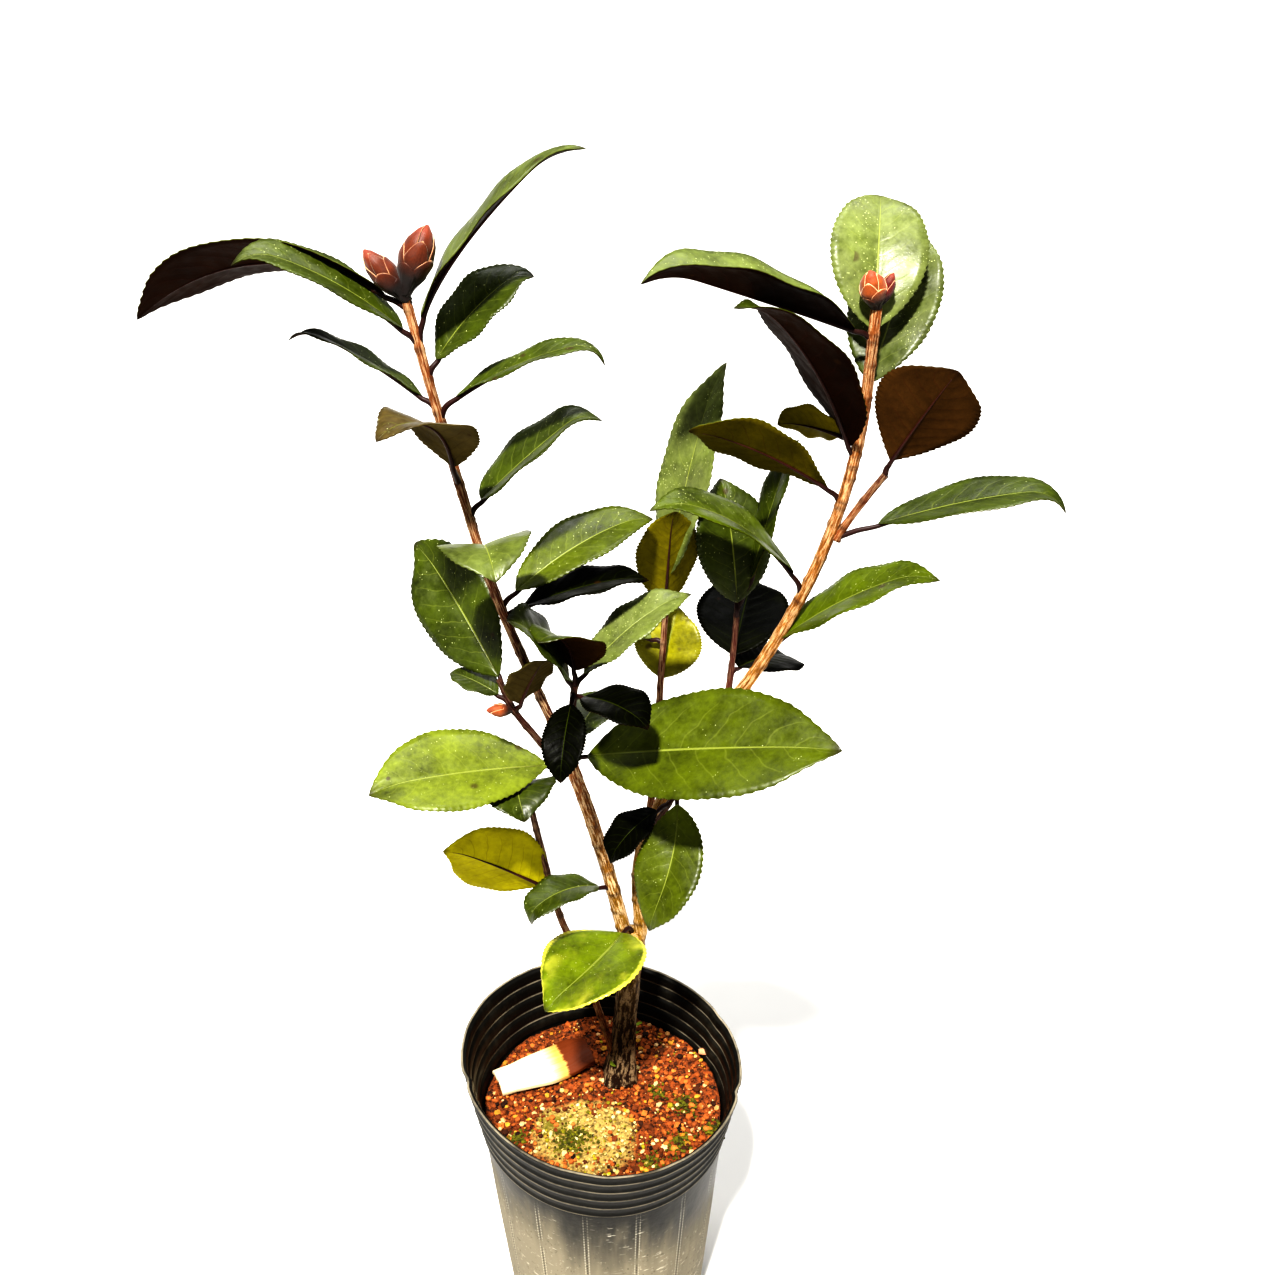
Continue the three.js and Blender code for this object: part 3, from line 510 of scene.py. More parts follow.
def make_pot_material(settings):
    """Black film, scuffed and dusty on the body, paler towards the bottom and, as painted light, on the left;
    pale crests on the ribs, partly worn and partly painted highlight.
    """
    graph, shader = start_material("pot_film")
    dust = tuple(settings.dust)
    spot = graph.spot()
    x, y, z = graph.parts(spot)
    crest, inner, up = graph.parts(graph.read("trait"))
    base = graph.group("Mottle", colour=tuple(settings.film), vector=spot, scale=60.0, amount=0.4)["Colour"]
    body = graph.ramp(up, 0.79, 0.66) * (1.0 - inner)

    cloud = graph.noise(graph.scale(spot, (1.0, 1.0, 0.45)), 30.0, 4.0, 0.6)
    wiped = graph.noise(graph.scale(spot, (1.0, 1.0, 0.1)), 150.0, 3.0, 0.6)
    # Paler towards the bottom
    low = graph.ramp(up, 0.76, 0.4)
    # Painted light: the patches grow paler on the left, where the light falls on the pot
    left = graph.ramp(0.0 - x, -0.01, 0.05, 0.0, 0.45)
    patches = graph.ramp(cloud * 1.2 + wiped * 0.9 + low * 0.8 + left, 1.0, 2.1) * body
    base = graph.mix(patches * 0.95, base, dust)
    fine = graph.noise(spot, 420.0, 3.0, 0.7)
    base = graph.mix(graph.ramp(fine, 0.6, 0.72) * patches * 0.5, base, MARKS["chalk"])
    base = graph.mix(graph.ramp(fine, 0.4, 0.3) * patches * 0.6, base, MARKS["pit"])
    scratch = graph.noise(graph.scale(spot, (0.25, 0.25, 1.6)), 620.0, 2.0)
    scratch = graph.ramp(scratch, 0.66, 0.7) * graph.ramp(cloud, 0.5, 0.62) * body
    base = graph.mix(scratch * 0.7, base, MARKS["scratch"])

    # Pale rib crests: partly wear, partly painted highlight
    wear = graph.ramp(graph.noise(spot, 85.0, 4.0, 0.65), 0.32, 0.6, 0.25, 1.0)
    worn = graph.ramp(crest, 0.8, 1.0) * wear
    base = graph.mix(worn * 0.75, base, MARKS["worn_rib_and_highlight"])
    film = graph.group("Dust", vector=spot, scale=45.0, cover=0.3)["Mask"]
    base = graph.mix(film * 0.08, base, dust)

    turn = graph.math("ARCTAN2", y, x) / (TURN / SEAM_COUNT) + SEAM_TURN
    line = abs(graph.math("FRACT", turn) - 0.5)
    dotted = graph.ramp(graph.math("SINE", z * SEAM_DOTS), -0.2, 0.5, 0.25, 1.0)
    broken = graph.ramp(graph.noise(spot, 60.0, 2.0), 0.3, 0.5)
    here = body * (dotted * broken)
    edges = (1.0 - graph.ramp(abs(line - 0.04), 0.004, 0.016)) * here
    seam = (1.0 - graph.ramp(line, 0.006, 0.022)) * here
    base = graph.mix(edges * 0.55, base, MARKS["seam_edge"])
    base = graph.mix(seam * 0.8, base, MARKS["seam"])

    roughness = graph.ramp(graph.math("MAXIMUM", patches, worn), 0.0, 1.0, 0.42, 0.8)
    wrinkle = graph.noise(spot, 90.0, 4.0, 0.6)
    graph.dress(shader, base, roughness, wrinkle - seam * 0.7, 0.4, 0.0009)


# The dry pale patch of soil: its middle, in millimetres
CREAM_AT = (-8, -18)


def make_soil_material(settings):
    """Red soil at the back and right with painted shade in the low spots of its grain, pale dry soil and moss
    at the front.
    """
    graph, shader = start_material("soil_bed")
    spot = graph.spot()
    x, y, _ = graph.parts(spot)
    grain = graph.noise(spot, 520.0, 4.0, 0.7)
    cloud = graph.noise(spot, 55.0, 3.0)
    aside = (x - CREAM_AT[0] * MM) / 0.024
    ahead = (y - CREAM_AT[1] * MM) / 0.021
    front = graph.ramp(aside**2.0 + ahead**2.0, 1.5, 0.3)
    pale = graph.ramp(front + (cloud - 0.5) * 1.6, 0.35, 0.8)
    # Painted shade: the low spots of the grain are darkened, in the red soil and in the pale soil
    base = graph.mix(graph.ramp(grain, 0.35, 0.62), tuple(settings.dark), tuple(settings.red))
    light = graph.mix(graph.ramp(grain, 0.3, 0.6), MARKS["pale_soil_gap"], tuple(settings.pale))
    base = graph.mix(pale, base, light)
    moss = graph.ramp(graph.noise(graph.scale(spot, (1.0, 1.0, 0.3)), 75.0, 3.0), 0.55, 0.7)
    moss = moss * graph.ramp(front, 0.2, 1.0)
    base = graph.mix(moss * 0.8, base, tuple(settings.moss))
    graph.dress(shader, base, graph.ramp(grain, 0.2, 0.8, 0.7, 0.95), grain, 1.0, 0.0012)


def make_strip_material(settings):
    """Split wood: cream, with long grain, turning yellow and then brown at one end, which is painted shadow.
    """
    graph, shader = start_material("split_wood")
    place = graph.read("place")
    grain = graph.noise(graph.scale(place, (7.0, 0.7, 1.0)), 2.2, 4.0, 0.65)
    along = graph.parts(place)[1] + (grain - 0.5) * 0.08
    base = graph.mix(graph.ramp(grain, 0.35, 0.7, 0.0, 0.35), tuple(settings.strip), MARKS["wood_grain"])
    # Painted shadow at the strip's end: a yellow edge, then the brown shadow
    base = graph.mix(graph.ramp(along, 0.5, 0.68, 0.0, 0.85), base, MARKS["strip_shadow_edge"])
    base = graph.mix(graph.ramp(along, 0.695, 0.73), base, tuple(settings.strip_shadow))
    graph.dress(shader, base, graph.ramp(grain, 0.2, 0.8, 0.55, 0.8), grain, 0.5, 0.0005)


def make_floor_material(settings):
    """A plain matt floor with a barely seen unevenness."""
    graph, shader = start_material("plain_floor")
    tone = tuple(settings.floor)
    mottled = graph.group("Mottle", colour=tone, vector=graph.spot(), scale=3.0, amount=0.02)
    roughness = graph.ramp(mottled["Value"], 0.0, 1.0, 0.8, 0.9)
    graph.fill(shader, {"Base Color": mottled["Colour"], "Roughness": roughness})


# Meshes under construction

# Free strips along the sides and the ends of a bake cell, as shares of it
CELL_SIDES = 0.08
CELL_ENDS = 0.06

# A tube's end caps lie in the free strip beside its skin: their middle and their reach
CAP_MIDDLE = 1.04
CAP_REACH = 0.015


class Piece:
    """A bmesh with the colours that its finishes read and a square of bake cells."""

    def __init__(self, cells=1):
        self.bm = bmesh.new()
        self.tone = self.bm.verts.layers.float_color.new("tone")
        self.line = self.bm.verts.layers.float_color.new("line")
        self.place = self.bm.verts.layers.float_vector.new("place")
        self.trait = self.bm.verts.layers.float_vector.new("trait")
        self.bake = self.bm.loops.layers.uv.new("OFBake")
        self.columns = math.ceil(math.sqrt(cells * 1.6))
        self.rows = math.ceil(cells / self.columns)
        self.used = 0

    def next_cell(self):
        """A call that puts a spot of 0 to 1 each way into the next free bake cell."""
        left = (self.used % self.columns) / self.columns
        foot = (self.used // self.columns) / self.rows
        self.used += 1

        def into(u, w):
            across = mix(CELL_SIDES, 1 - CELL_SIDES, u)
            up = mix(CELL_ENDS, 1 - CELL_ENDS, w)
            return Vector((left + across / self.columns, foot + up / self.rows))

        return into

    def colour(self, vertex, tone, line=None, place=(0, 0, 0), trait=(0, 0, 0)):
        vertex[self.tone] = tone
        vertex[self.line] = line or tone
        vertex[self.place] = place
        vertex[self.trait] = trait

    def grid(self, columns, rows):
        """A flat grid's vertices, each with its place across and along from 0 to 1."""
        made = bmesh.ops.create_grid(self.bm, x_segments=columns, y_segments=rows, size=1.0)
        return {v: ((v.co.x + 1) / 2, (v.co.y + 1) / 2) for v in made["verts"]}

    def sheet(self, columns, rows, place, paint, faces=(0, 1)):
        """A thin closed sheet: two grids set by place(u, w, side) and bridged round their margin."""
        margins = []
        spots = {}
        upper_cell = None
        for side, slot in ((1, faces[0]), (-1, faces[1])):
            here = self.grid(columns, rows)
            cell = self.next_cell()
            upper_cell = upper_cell or cell
            skin = list({f for v in here for f in v.link_faces})
            for vertex, (u, w) in here.items():
                vertex.co = place(u, w, side) * MM
                paint(vertex, u, w, side)
            for face in skin:
                face.material_index = slot
                face.smooth = True
                for loop in face.loops:
                    loop[self.bake].uv = cell(*here[loop.vert])
            margins += [e for e in {e for f in skin for e in f.edges} if e.is_boundary]
            if side < 0:
                bmesh.ops.reverse_faces(self.bm, faces=skin)
            spots.update({v: (*here[v], side) for v in here})
        rim = bmesh.ops.bridge_loops(self.bm, edges=margins)["faces"]
        for face in rim:
            face.material_index = faces[1]
            face.smooth = True
            for loop in face.loops:
                u, w, side = spots[loop.vert]
                grow = 1.0 if side > 0 else 1.05
                loop[self.bake].uv = upper_cell(0.5 + (u - 0.5) * grow, 0.5 + (w - 0.5) * grow)

    def tube(self, points, radius, paint, around, slot=0):
        """A closed tube along points; radius(share, angle) is in millimetres."""
        rings = len(points) - 1
        frames = turning_free_frames(points)
        here = self.grid(around, rings)
        cell = self.next_cell()
        skin = list({f for v in here for f in v.link_faces})
        for face in skin:
            for loop in face.loops:
                loop[self.bake].uv = cell(*here[loop.vert])
        for vertex, (u, w) in here.items():
            side, lift, _ = frames[round(w * rings)]
            angle = u * TURN
            reach = side * math.cos(angle) + lift * math.sin(angle)
            vertex.co = (points[round(w * rings)] + reach * radius(w, angle)) * MM
            paint(vertex, w, angle)
        seam = [v for v, (u, _) in here.items() if min(u, 1 - u) < 1e-4]
        bmesh.ops.remove_doubles(self.bm, verts=seam, dist=1e-8)
        ends = [e for e in {e for f in skin for e in f.edges} if e.is_boundary]
        caps = bmesh.ops.holes_fill(self.bm, edges=ends, sides=0)["faces"]
        for face in skin + caps:
            face.material_index = slot
            face.smooth = True
        for face in caps:
            for i, loop in enumerate(face.loops):
                turn = TURN * i / len(face.loops)
                u = CAP_MIDDLE + CAP_REACH * math.cos(turn)
                loop[self.bake].uv = cell(u, 0.5 + CAP_REACH * math.sin(turn))
        bmesh.ops.recalc_face_normals(self.bm, faces=skin + caps)

    def finish(self, name, materials, slot, *nodes):
        return place_piece(name, mesh_from(name, self.bm), materials, slot, *nodes)


def mesh_from(name, bm):
    mesh = bpy.data.meshes.new(name)
    bm.to_mesh(mesh)
    bm.free()
    return mesh


def smooth_mesh_from(name, bm):
    for face in bm.faces:
        face.smooth = True
    return mesh_from(name, bm)


def place_piece(name, mesh, materials, slot, *nodes):
    """Makes the object, gives it its materials and puts it on the frame."""
    for material in materials:
        mesh.materials.append(material)
    piece = bpy.data.objects.new(name, mesh)
    bpy.context.scene.collection.objects.link(piece)
    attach(piece, "root")
    if nodes:
        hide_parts(*nodes)
    return piece


def turning_free_frames(points):
    """Side, lift and direction at each point of a line, without a twist between them."""
    frames = []
    side = None
    for i in range(len(points)):
        ahead = points[min(i + 1, len(points) - 1)] - points[max(i - 1, 0)]
        ahead.normalize()
        if side is None:
            side = ahead.orthogonal()
        side = (side - ahead * side.dot(ahead)).normalized()
        frames.append((side, ahead.cross(side), ahead))
    return frames


# Limbs: points in the plant's own frame, and radii from foot to tip, all in millimetres

LIMBS = {
    "trunk": ([(8, 15, 0), (11, 15, 38), (14, 15, 84)], (5.0, 4.9)),
    "left_stem": ([(10.6, 14.5, 83.5), (4, 12, 118), (-4, 8, 153), (-10, 5, 177)], (3.0, 2.6)),
    "left_shoot": (
        [(-10, 5, 177), (-23, 0, 217), (-34, 0, 250), (-42, 0, 283), (-50, 0, 321), (-55.5, 0, 349)],
        (1.9, 1.6),
    ),
    "right_stem": (
        [(17.2, 15.5, 83.5), (18, 16, 125), (38, 20, 174), (58, 20, 201), (76, 20, 237), (87, 20, 271),
         (92, 20, 301), (93.5, 20, 340)],
        (2.9, 1.9),
    ),
    "right_side": ([(86, 20, 259), (94, 18, 273), (101, 17, 284)], (1.5, 1.3)),
    "right_low_twig": ([(21.5, 16, 137), (24.5, 12, 143), (31, 9, 158)], (1.4, 1.2)),
    "right_back_twig": ([(50, 20, 191), (53, 33, 209), (54, 38, 223)], (1.4, 1.2)),
    "back_stem": ([(20, 18, 135), (24, 30, 165), (25, 38, 187), (27, 42, 225)], (1.6, 1.3)),
    "low_left_stem": ([(6, 14, 14), (-8, 14, 68), (-17, 12, 99), (-27, 9, 161)], (1.8, 1.3)),
    "ring_twig": (
        [(-10.5, 4.6, 177), (-16.5, 1.6, 181), (-22.5, -0.8, 191), (-29, -3, 203), (-33, -4, 215)],
        (1.5, 1.2),
    ),
    "centre_shoot": ([(-10.3, 4.8, 177.5), (-9.4, -0.5, 183), (-8, -4, 196), (-6, -8, 215)], (1.6, 1.2)),
}


class Limb:
    """A smooth line through a limb's points, read by its share of the length."""

    STEPS = 200

    def __init__(self, nodes, radii):
        self.radii = radii
        knots = [Vector(p) for p in nodes]
        knots = [knots[0] * 2 - knots[1], *knots, knots[-1] * 2 - knots[-2]]
        spans = len(knots) - 3
        self.points = []
        for i in range(self.STEPS + 1):
            at = spans * i / self.STEPS
            span = min(int(at), spans - 1)
            t = at - span
            before, here, after, later = knots[span:span + 4]
            leave = (after - before) * 0.5
            arrive = (later - here) * 0.5
            self.points.append(
                here * (2 * t**3 - 3 * t**2 + 1) + leave * (t**3 - 2 * t**2 + t)
                + after * (3 * t**2 - 2 * t**3) + arrive * (t**3 - t**2)
            )
        self.reached = [0.0]
        for a, b in zip(self.points, self.points[1:]):
            self.reached.append(self.reached[-1] + (b - a).length)
        self.length = self.reached[-1]

    def at(self, share):
        """The point at a share of the length, in the part's frame."""
        goal = clamp01(share) * self.length
        i = 1
        while i < self.STEPS and self.reached[i] < goal:
            i += 1
        low, high = self.reached[i - 1], self.reached[i]
        return self.points[i - 1].lerp(self.points[i], (goal - low) / (high - low)) + PLANT_AT


limbs = {name: Limb(*row) for name, row in LIMBS.items()}

# Where a stem's skin starts inside the limb that carries it, so that the fork grows together
FORK_FEET = {"left_stem": (12.7, 14.8, 71), "right_stem": (14.6, 15.2, 71)}

# Leaves: limb, share along it, heading and rise in degrees, length, width, how far it arches and
# sweeps, its roll, its stalk, the names of its upper and under tones, and what differs from plain


def leaf(limb, along, heading, rise, size, width, arch, sweep, roll, stalk, upper, under, **more):
    return {
        "limb": limb, "along": along, "heading": heading, "rise": rise, "size": size, "width": width,
        "arch": arch, "sweep": sweep, "roll": roll, "stalk": stalk, "upper": upper, "under": under,
        "broad": 0.5, "bend": 1.3, "cup": 13, "hook": 15, "neck": 25,
        "specks": 0.25, "margin": 0.0, "age": 0.12, "rib": "deep" if upper == "shade" else "rib_light",
        **more,
    }


FOLIAGE = {
    "left_fork_foliage": [
        leaf("left_stem", 0.96, 338, 18, 98, 46, 6, 0, 28, 9, "fresh", "olive",
             hook=5, neck=40, specks=0.1),
        leaf("left_stem", 0.96, 200, 9, 67, 38, 12, 0, -18, 9, "lit", "olive",
             neck=0, broad=0.54, age=0.35),
    ],
    "left_mid_foliage": [
        leaf("left_shoot", 0.47, 275, 48, 40, 30, 85, 15, 5, 7, "sage", "brown", specks=0.4),
        leaf("left_shoot", 0.38, 28, 32, 58, 25, 30, 0, 12, 8, "fresh", "brown", specks=0.4),
        leaf("left_shoot", 0.36, 8, 20, 46, 24, 20, 0, -2, 7, "shade", "brown", specks=0),
    ],
    "left_upper_foliage": [
        leaf("left_shoot", 0.645, 262, 71, 44, 28, 97, -46, 0, 9, "beige", "beige", neck=-25),
        leaf("left_shoot", 0.572, 13, 42, 51, 26, 10, 0, 2, 8, "deep", "brown",
             hook=60, neck=35, broad=0.42, cup=18),
    ],
    "left_top_foliage": [
        leaf("left_shoot", 0.902, 190, 42, 56, 24, 30, 5, -12, 8, "deep", "brown", hook=45, specks=0.5),
        leaf("left_shoot", 0.97, 163, 30, 96, 30, 69, 5, 28, 9, "sage", "brown", hook=0, neck=0, bend=0.8),
        leaf("left_shoot", 0.9, 2, 80, 74, 26, 42, 0, 4, 10, "sage", "brown", hook=35, bend=0.3, neck=8),
        leaf("left_shoot", 0.845, 16, 53, 42, 23, 28, 0, 24, 7, "deep", "brown", hook=35),
        leaf("left_shoot", 0.785, 172, 35, 48, 12, 18, 0, 6, 7, "deep", "brown", hook=50),
        leaf("left_shoot", 0.762, 0, 31, 54, 14, 26, 0, 8, 11, "deep", "brown", hook=70, neck=58),
    ],
    "left_twig_foliage": [
        leaf("ring_twig", 0.88, 130, 42, 63, 32, 15, 0, -60, 6, "deep", "olive"),
        leaf("ring_twig", 0.68, 318, 64, 28, 18, 12, 0, -15, 5, "deep", "beige", neck=-10),
        leaf("ring_twig", 0.75, 160, 25, 20, 16, 20, 0, 0, 6, "deep", "olive"),
    ],
    "centre_foliage": [
        leaf("centre_shoot", 0.9, 222, 62, 41, 27, 20, 0, -30, 7, "deep", "brown"),
        leaf("centre_shoot", 0.9, 262, -18, 30, 15, 50, 0, 0, 6, "shade", "brown", specks=0),
        leaf("centre_shoot", 1, 246, 80, 33, 29, 80, -10, 0, 6, "deep", "wine"),
        leaf("centre_shoot", 0.95, 20, 46, 48, 20, 30, 0, 8, 7, "sage", "olive", specks=0.8),
        leaf("centre_shoot", 0.85, 320, 15, 30, 22, 40, 0, 0, 6, "shade", "brown", specks=0),
        leaf("centre_shoot", 0.15, 60, 30, 26, 18, 30, 0, 0, 6, "deep", "brown"),
    ],
    "low_left_foliage": [
        leaf("low_left_stem", 0.97, 255, 50, 34, 28, 95, 40, 0, 7, "deep", "olive"),
        leaf("low_left_stem", 0.64, 190, 36, 45, 40, 10, 0, 74, 5, "deep", "gold_sunlit_back"),
    ],
    "right_low_foliage": [
        leaf("right_low_twig", 0.7, 215, -15, 28, 18, 45, 0, 0, 6, "shade", "brown", specks=0),
        leaf("right_low_twig", 1, 272, -50, 50, 26, 10, -58, 0, 6, "fresh", "olive", neck=60),
    ],
    "right_mid_foliage": [
        leaf("right_stem", 0.523, 345, 44, 64, 23, 26, 0, 12, 7, "grass", "olive", hook=30),
        leaf("right_stem", 0.606, 192, 52, 64, 25, 48, 0, -8, 12, "grass", "brown",
             neck=45, hook=25, specks=0.5),
    ],
    "right_upper_foliage": [
        leaf("right_stem", 0.746, 188, 34, 55, 27, 20, 0, 45, 9, "sage", "olive",
             neck=45, hook=5, broad=0.6),
        leaf("right_side", 1, 325, 62, 40, 36, 5, 0, -60, 5, "deep", "wine", broad=0.6, hook=0),
        leaf("right_side", 0, 350, 22, 67, 23, 16, 0, 8, 16, "deep", "olive",
             hook=60, neck=5, specks=0.05),
    ],
    "right_top_foliage": [
        leaf("right_stem", 0.948, 82, 70, 52, 32, 45, 0, 6, 7, "sage", "olive", specks=0.9),
        leaf("right_stem", 0.88, 56, 58, 56, 30, 10, 0, 10, 8, "deep", "olive", specks=0.9),
        leaf("right_stem", 0.96, 190, 19, 74, 32, 2, 0, 0, 8, "sage", "brown",
             neck=30, cup=40, bend=1, hook=35, specks=0.5),
        leaf("right_stem", 0.802, 214, 63, 78, 34, 32, 0, 0, 8, "deep", "brown", hook=30),
        leaf("right_stem", 0.831, 155, 12, 24, 20, 20, 0, 50, 6, "deep", "mustard"),
    ],
    "back_foliage": [
        leaf("back_stem", 1, 36, 78, 84, 25, 10, 0, 6, 8, "sage", "olive", specks=0.9),
        leaf("back_stem", 0.93, 285, 82, 44, 24, 10, 0, 0, 4, "deep", "amber"),
        leaf("back_stem", 0.6, 62, 66, 29, 27, 10, 0, 12, 4, "ripe", "ripe", age=0.7),
        leaf("back_stem", 0.8, 165, 5, 14, 10, 20, 0, 0, 5, "sage", "olive"),
    ],
    "right_back_foliage": [
        leaf("right_back_twig", 0.4, 76, 26, 42, 36, 12, 0, 0, 4, "shade", "brown", specks=0),
        leaf("right_back_twig", 0.3, 48, -4, 34, 32, 20, 0, 8, 5, "shade", "brown",
             neck=40, specks=0),
        leaf("right_back_twig", 0.9, 112, 78, 48, 31, 20, 0, 0, 6, "deep", "olive"),
        leaf("right_back_twig", 1, 20, 76, 56, 16, 4, 0, 0, 12, "deep", "olive", neck=-20),
    ],
    "front_leaf": [
        leaf("trunk", 0.97, 246, 3, 48, 44, 28, -34, 8, 15, "bright", "olive",
             neck=80, broad=0.46, margin=0.95, specks=0.35),
    ],
    "low_leaf": [
        leaf("left_stem", 0.25, 216, 30, 39, 18, 72, 0, 0, 9, "deep", "olive", hook=60, neck=15),
    ],
}

# Buds: limb, share along it, heading, rise, length, radius, scale colour

BUDS = {
    "left_top_buds": [
        ("left_shoot", 0.99, 182, 52, 18.5, 4.1, "red"),
        ("left_shoot", 1, 12, 66, 21.5, 5.2, "red"),
    ],
    "right_top_buds": [
        ("right_stem", 1, 215, 70, 13, 4.3, "pale"),
        ("right_stem", 1, 350, 68, 12, 2.6, "dark"),
    ],
    "ring_bud": [("ring_twig", 0.7, 196, 8, 10, 2.4, "pale")],
}


# Shares of a blade from which its tip hooks down, and from which it narrows more and by how much
HOOK_FROM = 0.72
NARROW_FROM = 0.78
NARROWING = 0.3

# The power that fills out a blade's outline, and its least half width in millimetres
FULLNESS = 0.8
LEAST_HALF = 0.12


def heading_frame(heading, rise):
    """Direction, level side and upward face of a leaf or bud, from angles in radians."""
    ahead = Vector((math.cos(rise) * math.cos(heading), math.cos(rise) * math.sin(heading), math.sin(rise)))
    level = Vector((math.sin(heading), -math.cos(heading), 0))
    return ahead, level, level.cross(ahead)


class LeafLine:
    """The stalk and midrib of a leaf: where each row of the blade sits and how it is turned."""

    STALK_STEPS = 8

    def __init__(self, row, rows):
        self.row = row
        at = limbs[row["limb"]].at(row["along"])
        self.stalk = [(at.copy(), self.turned(-1)[2])]
        for i in range(self.STALK_STEPS):
            s = (i + 0.5) / self.STALK_STEPS - 1
            at += self.turned(s)[0] * (row["stalk"] / self.STALK_STEPS)
            self.stalk.append((at.copy(), self.turned(min(0, s + 0.5 / self.STALK_STEPS))[2]))
        self.blade = [(at.copy(), *self.turned(0)[1:])]
        for i in range(rows):
            at += self.turned((i + 0.5) / rows)[0] * (row["size"] / rows)
            self.blade.append((at.copy(), *self.turned((i + 1) / rows)[1:]))

    def turned(self, s):
        """Direction, side and face at s, which is -1 to 0 on the stalk and 0 to 1 on the blade."""
        row = self.row
        rad = math.radians
        if s < 0:
            rise = rad(row["rise"] + row["neck"] * -s)
            heading = rad(row["heading"])
            roll = rad(row["roll"] * (1 + s))
        else:
            fall = row["arch"] * s ** row["bend"] + row["hook"] * smooth(HOOK_FROM, 1, s)
            rise = rad(row["rise"] - fall)
            heading = rad(row["heading"] + row["sweep"] * s)
            roll = rad(row["roll"])
        ahead, level, face = heading_frame(heading, rise)
        side = level * math.cos(roll) - face * math.sin(roll)
        return ahead, side, face * math.cos(roll) + level * math.sin(roll)

    def half_width(self, s):
        row = self.row
        q = clamp01(s) ** (math.log(0.5) / math.log(row["broad"]))
        body = max(0.0, 4 * q * (1 - q)) ** FULLNESS
        return max(0.5 * row["width"] * body * (1 - NARROWING * smooth(NARROW_FROM, 1, s)), LEAST_HALF)


BLADE_ROWS = 78
BLADE_COLUMNS = 14

# A blade's relief in millimetres: the wave of its margin, the quilting between veins, and the midrib's groove
RIPPLE = 0.9
QUILT = 0.09
GROOVE = 0.3

# Radius of a stalk at its foot, where the blade starts, and at the end of the midrib
STALK_RADII = (1.15, 0.85, 0.12)

# Rows at a blade's tip that its midrib doesn't reach
FREE_ROWS = 6


def blade_across(u):
    """From edge to edge as -1 to 1, with the columns closer together near the midrib."""
    raw = u * 2 - 1
    return math.copysign(abs(raw) ** 1.25, raw)


def build_leaf(piece, row, looks, seed):
    """One leaf: a toothed, slightly quilted blade, and a stalk that runs on as its midrib."""
    line = LeafLine(row, BLADE_ROWS)
    tooth = looks.tooth / MM
    thick = looks.thickness / MM
    drift = random.Random(seed)
    waves = drift.uniform(2.2, 3.4)
    phase = drift.uniform(0, TURN)
    lean = drift.uniform(0.3, 0.7)
    shade = drift.uniform(0.9, 1.1)

    def place(u, w, side):
        index = round(w * BLADE_ROWS)
        at, across, normal = line.blade[index]
        v = blade_across(u)
        away = abs(v)
        half = line.half_width(w)
        bite = (index % 3) / 2 - 0.35
        toothed = away > 0.999 and 2 < index < BLADE_ROWS - 1
        margin = tooth * bite * min(1.0, half / 4) if toothed else 0.0
        cup = away * math.tan(math.radians(row["cup"])) * half * (1 - 0.3 * away)
        ripple = RIPPLE * lean * away**3 * math.sin(waves * TURN * w + phase + (1.4 if v > 0 else 0))
        quilt = QUILT * math.sin((w - 0.2 * away**1.35) * TURN * VEIN_PAIRS) * away * (1 - away) * 4
        groove = -GROOVE * math.exp(-((away / 0.07) ** 2)) * (1 - w)
        fade = min(1.0, half / 3)
        lift = cup + (ripple + quilt + groove) * fade + side * thick / 2 * min(1.0, half / 1.2)
        return at + across * (math.copysign(1, v) * (away * half + margin) if v else 0) + normal * lift

    upper, under = (mix_colour(BLACK, tone_of(looks, row[key]), shade) for key in ("upper", "under"))
    rib = tone_of(looks, row["rib"])
    back_rib = tuple(looks.rib_red)

    def paint(vertex, u, w, side):
        tone, vein = (upper, rib) if side > 0 else (under, back_rib)
        traits = (row["specks"] if side > 0 else 0, row["margin"], row["age"])
        piece.colour(vertex, tone, vein, (blade_across(u), w, seed * 0.37), traits)

    piece.sheet(BLADE_COLUMNS, BLADE_ROWS, place, paint)

    stalk_count = len(line.stalk) - 1
    total = stalk_count + BLADE_ROWS - FREE_ROWS - 1
    stalk_share = stalk_count / total
    foot, middle, end = STALK_RADII

    def radius(share, angle):
        if share < stalk_share:
            return mix(foot, middle, share / stalk_share)
        return mix(middle, end, ((share - stalk_share) / (1 - stalk_share)) ** 0.7)

    points = []
    for i, (at, normal) in enumerate(line.stalk[:-1]):
        sink = smooth(0.45, 1, i / stalk_count)
        points.append(at - normal * (sink * (thick / 2 + 0.7)))
    for i, (at, _, normal) in enumerate(line.blade[:BLADE_ROWS - FREE_ROWS]):
        points.append(at - normal * (thick / 2 + radius((stalk_count + i) / total, 0) - 0.15))

    stalk = tuple(looks.stalk)

    def paint_stalk(vertex, share, angle):
        over = smooth(stalk_share, stalk_share + 0.4, share)
        piece.colour(vertex, mix_colour(stalk, back_rib, over))

    piece.tube(points, radius, paint_stalk, 9, slot=2)


# Operators


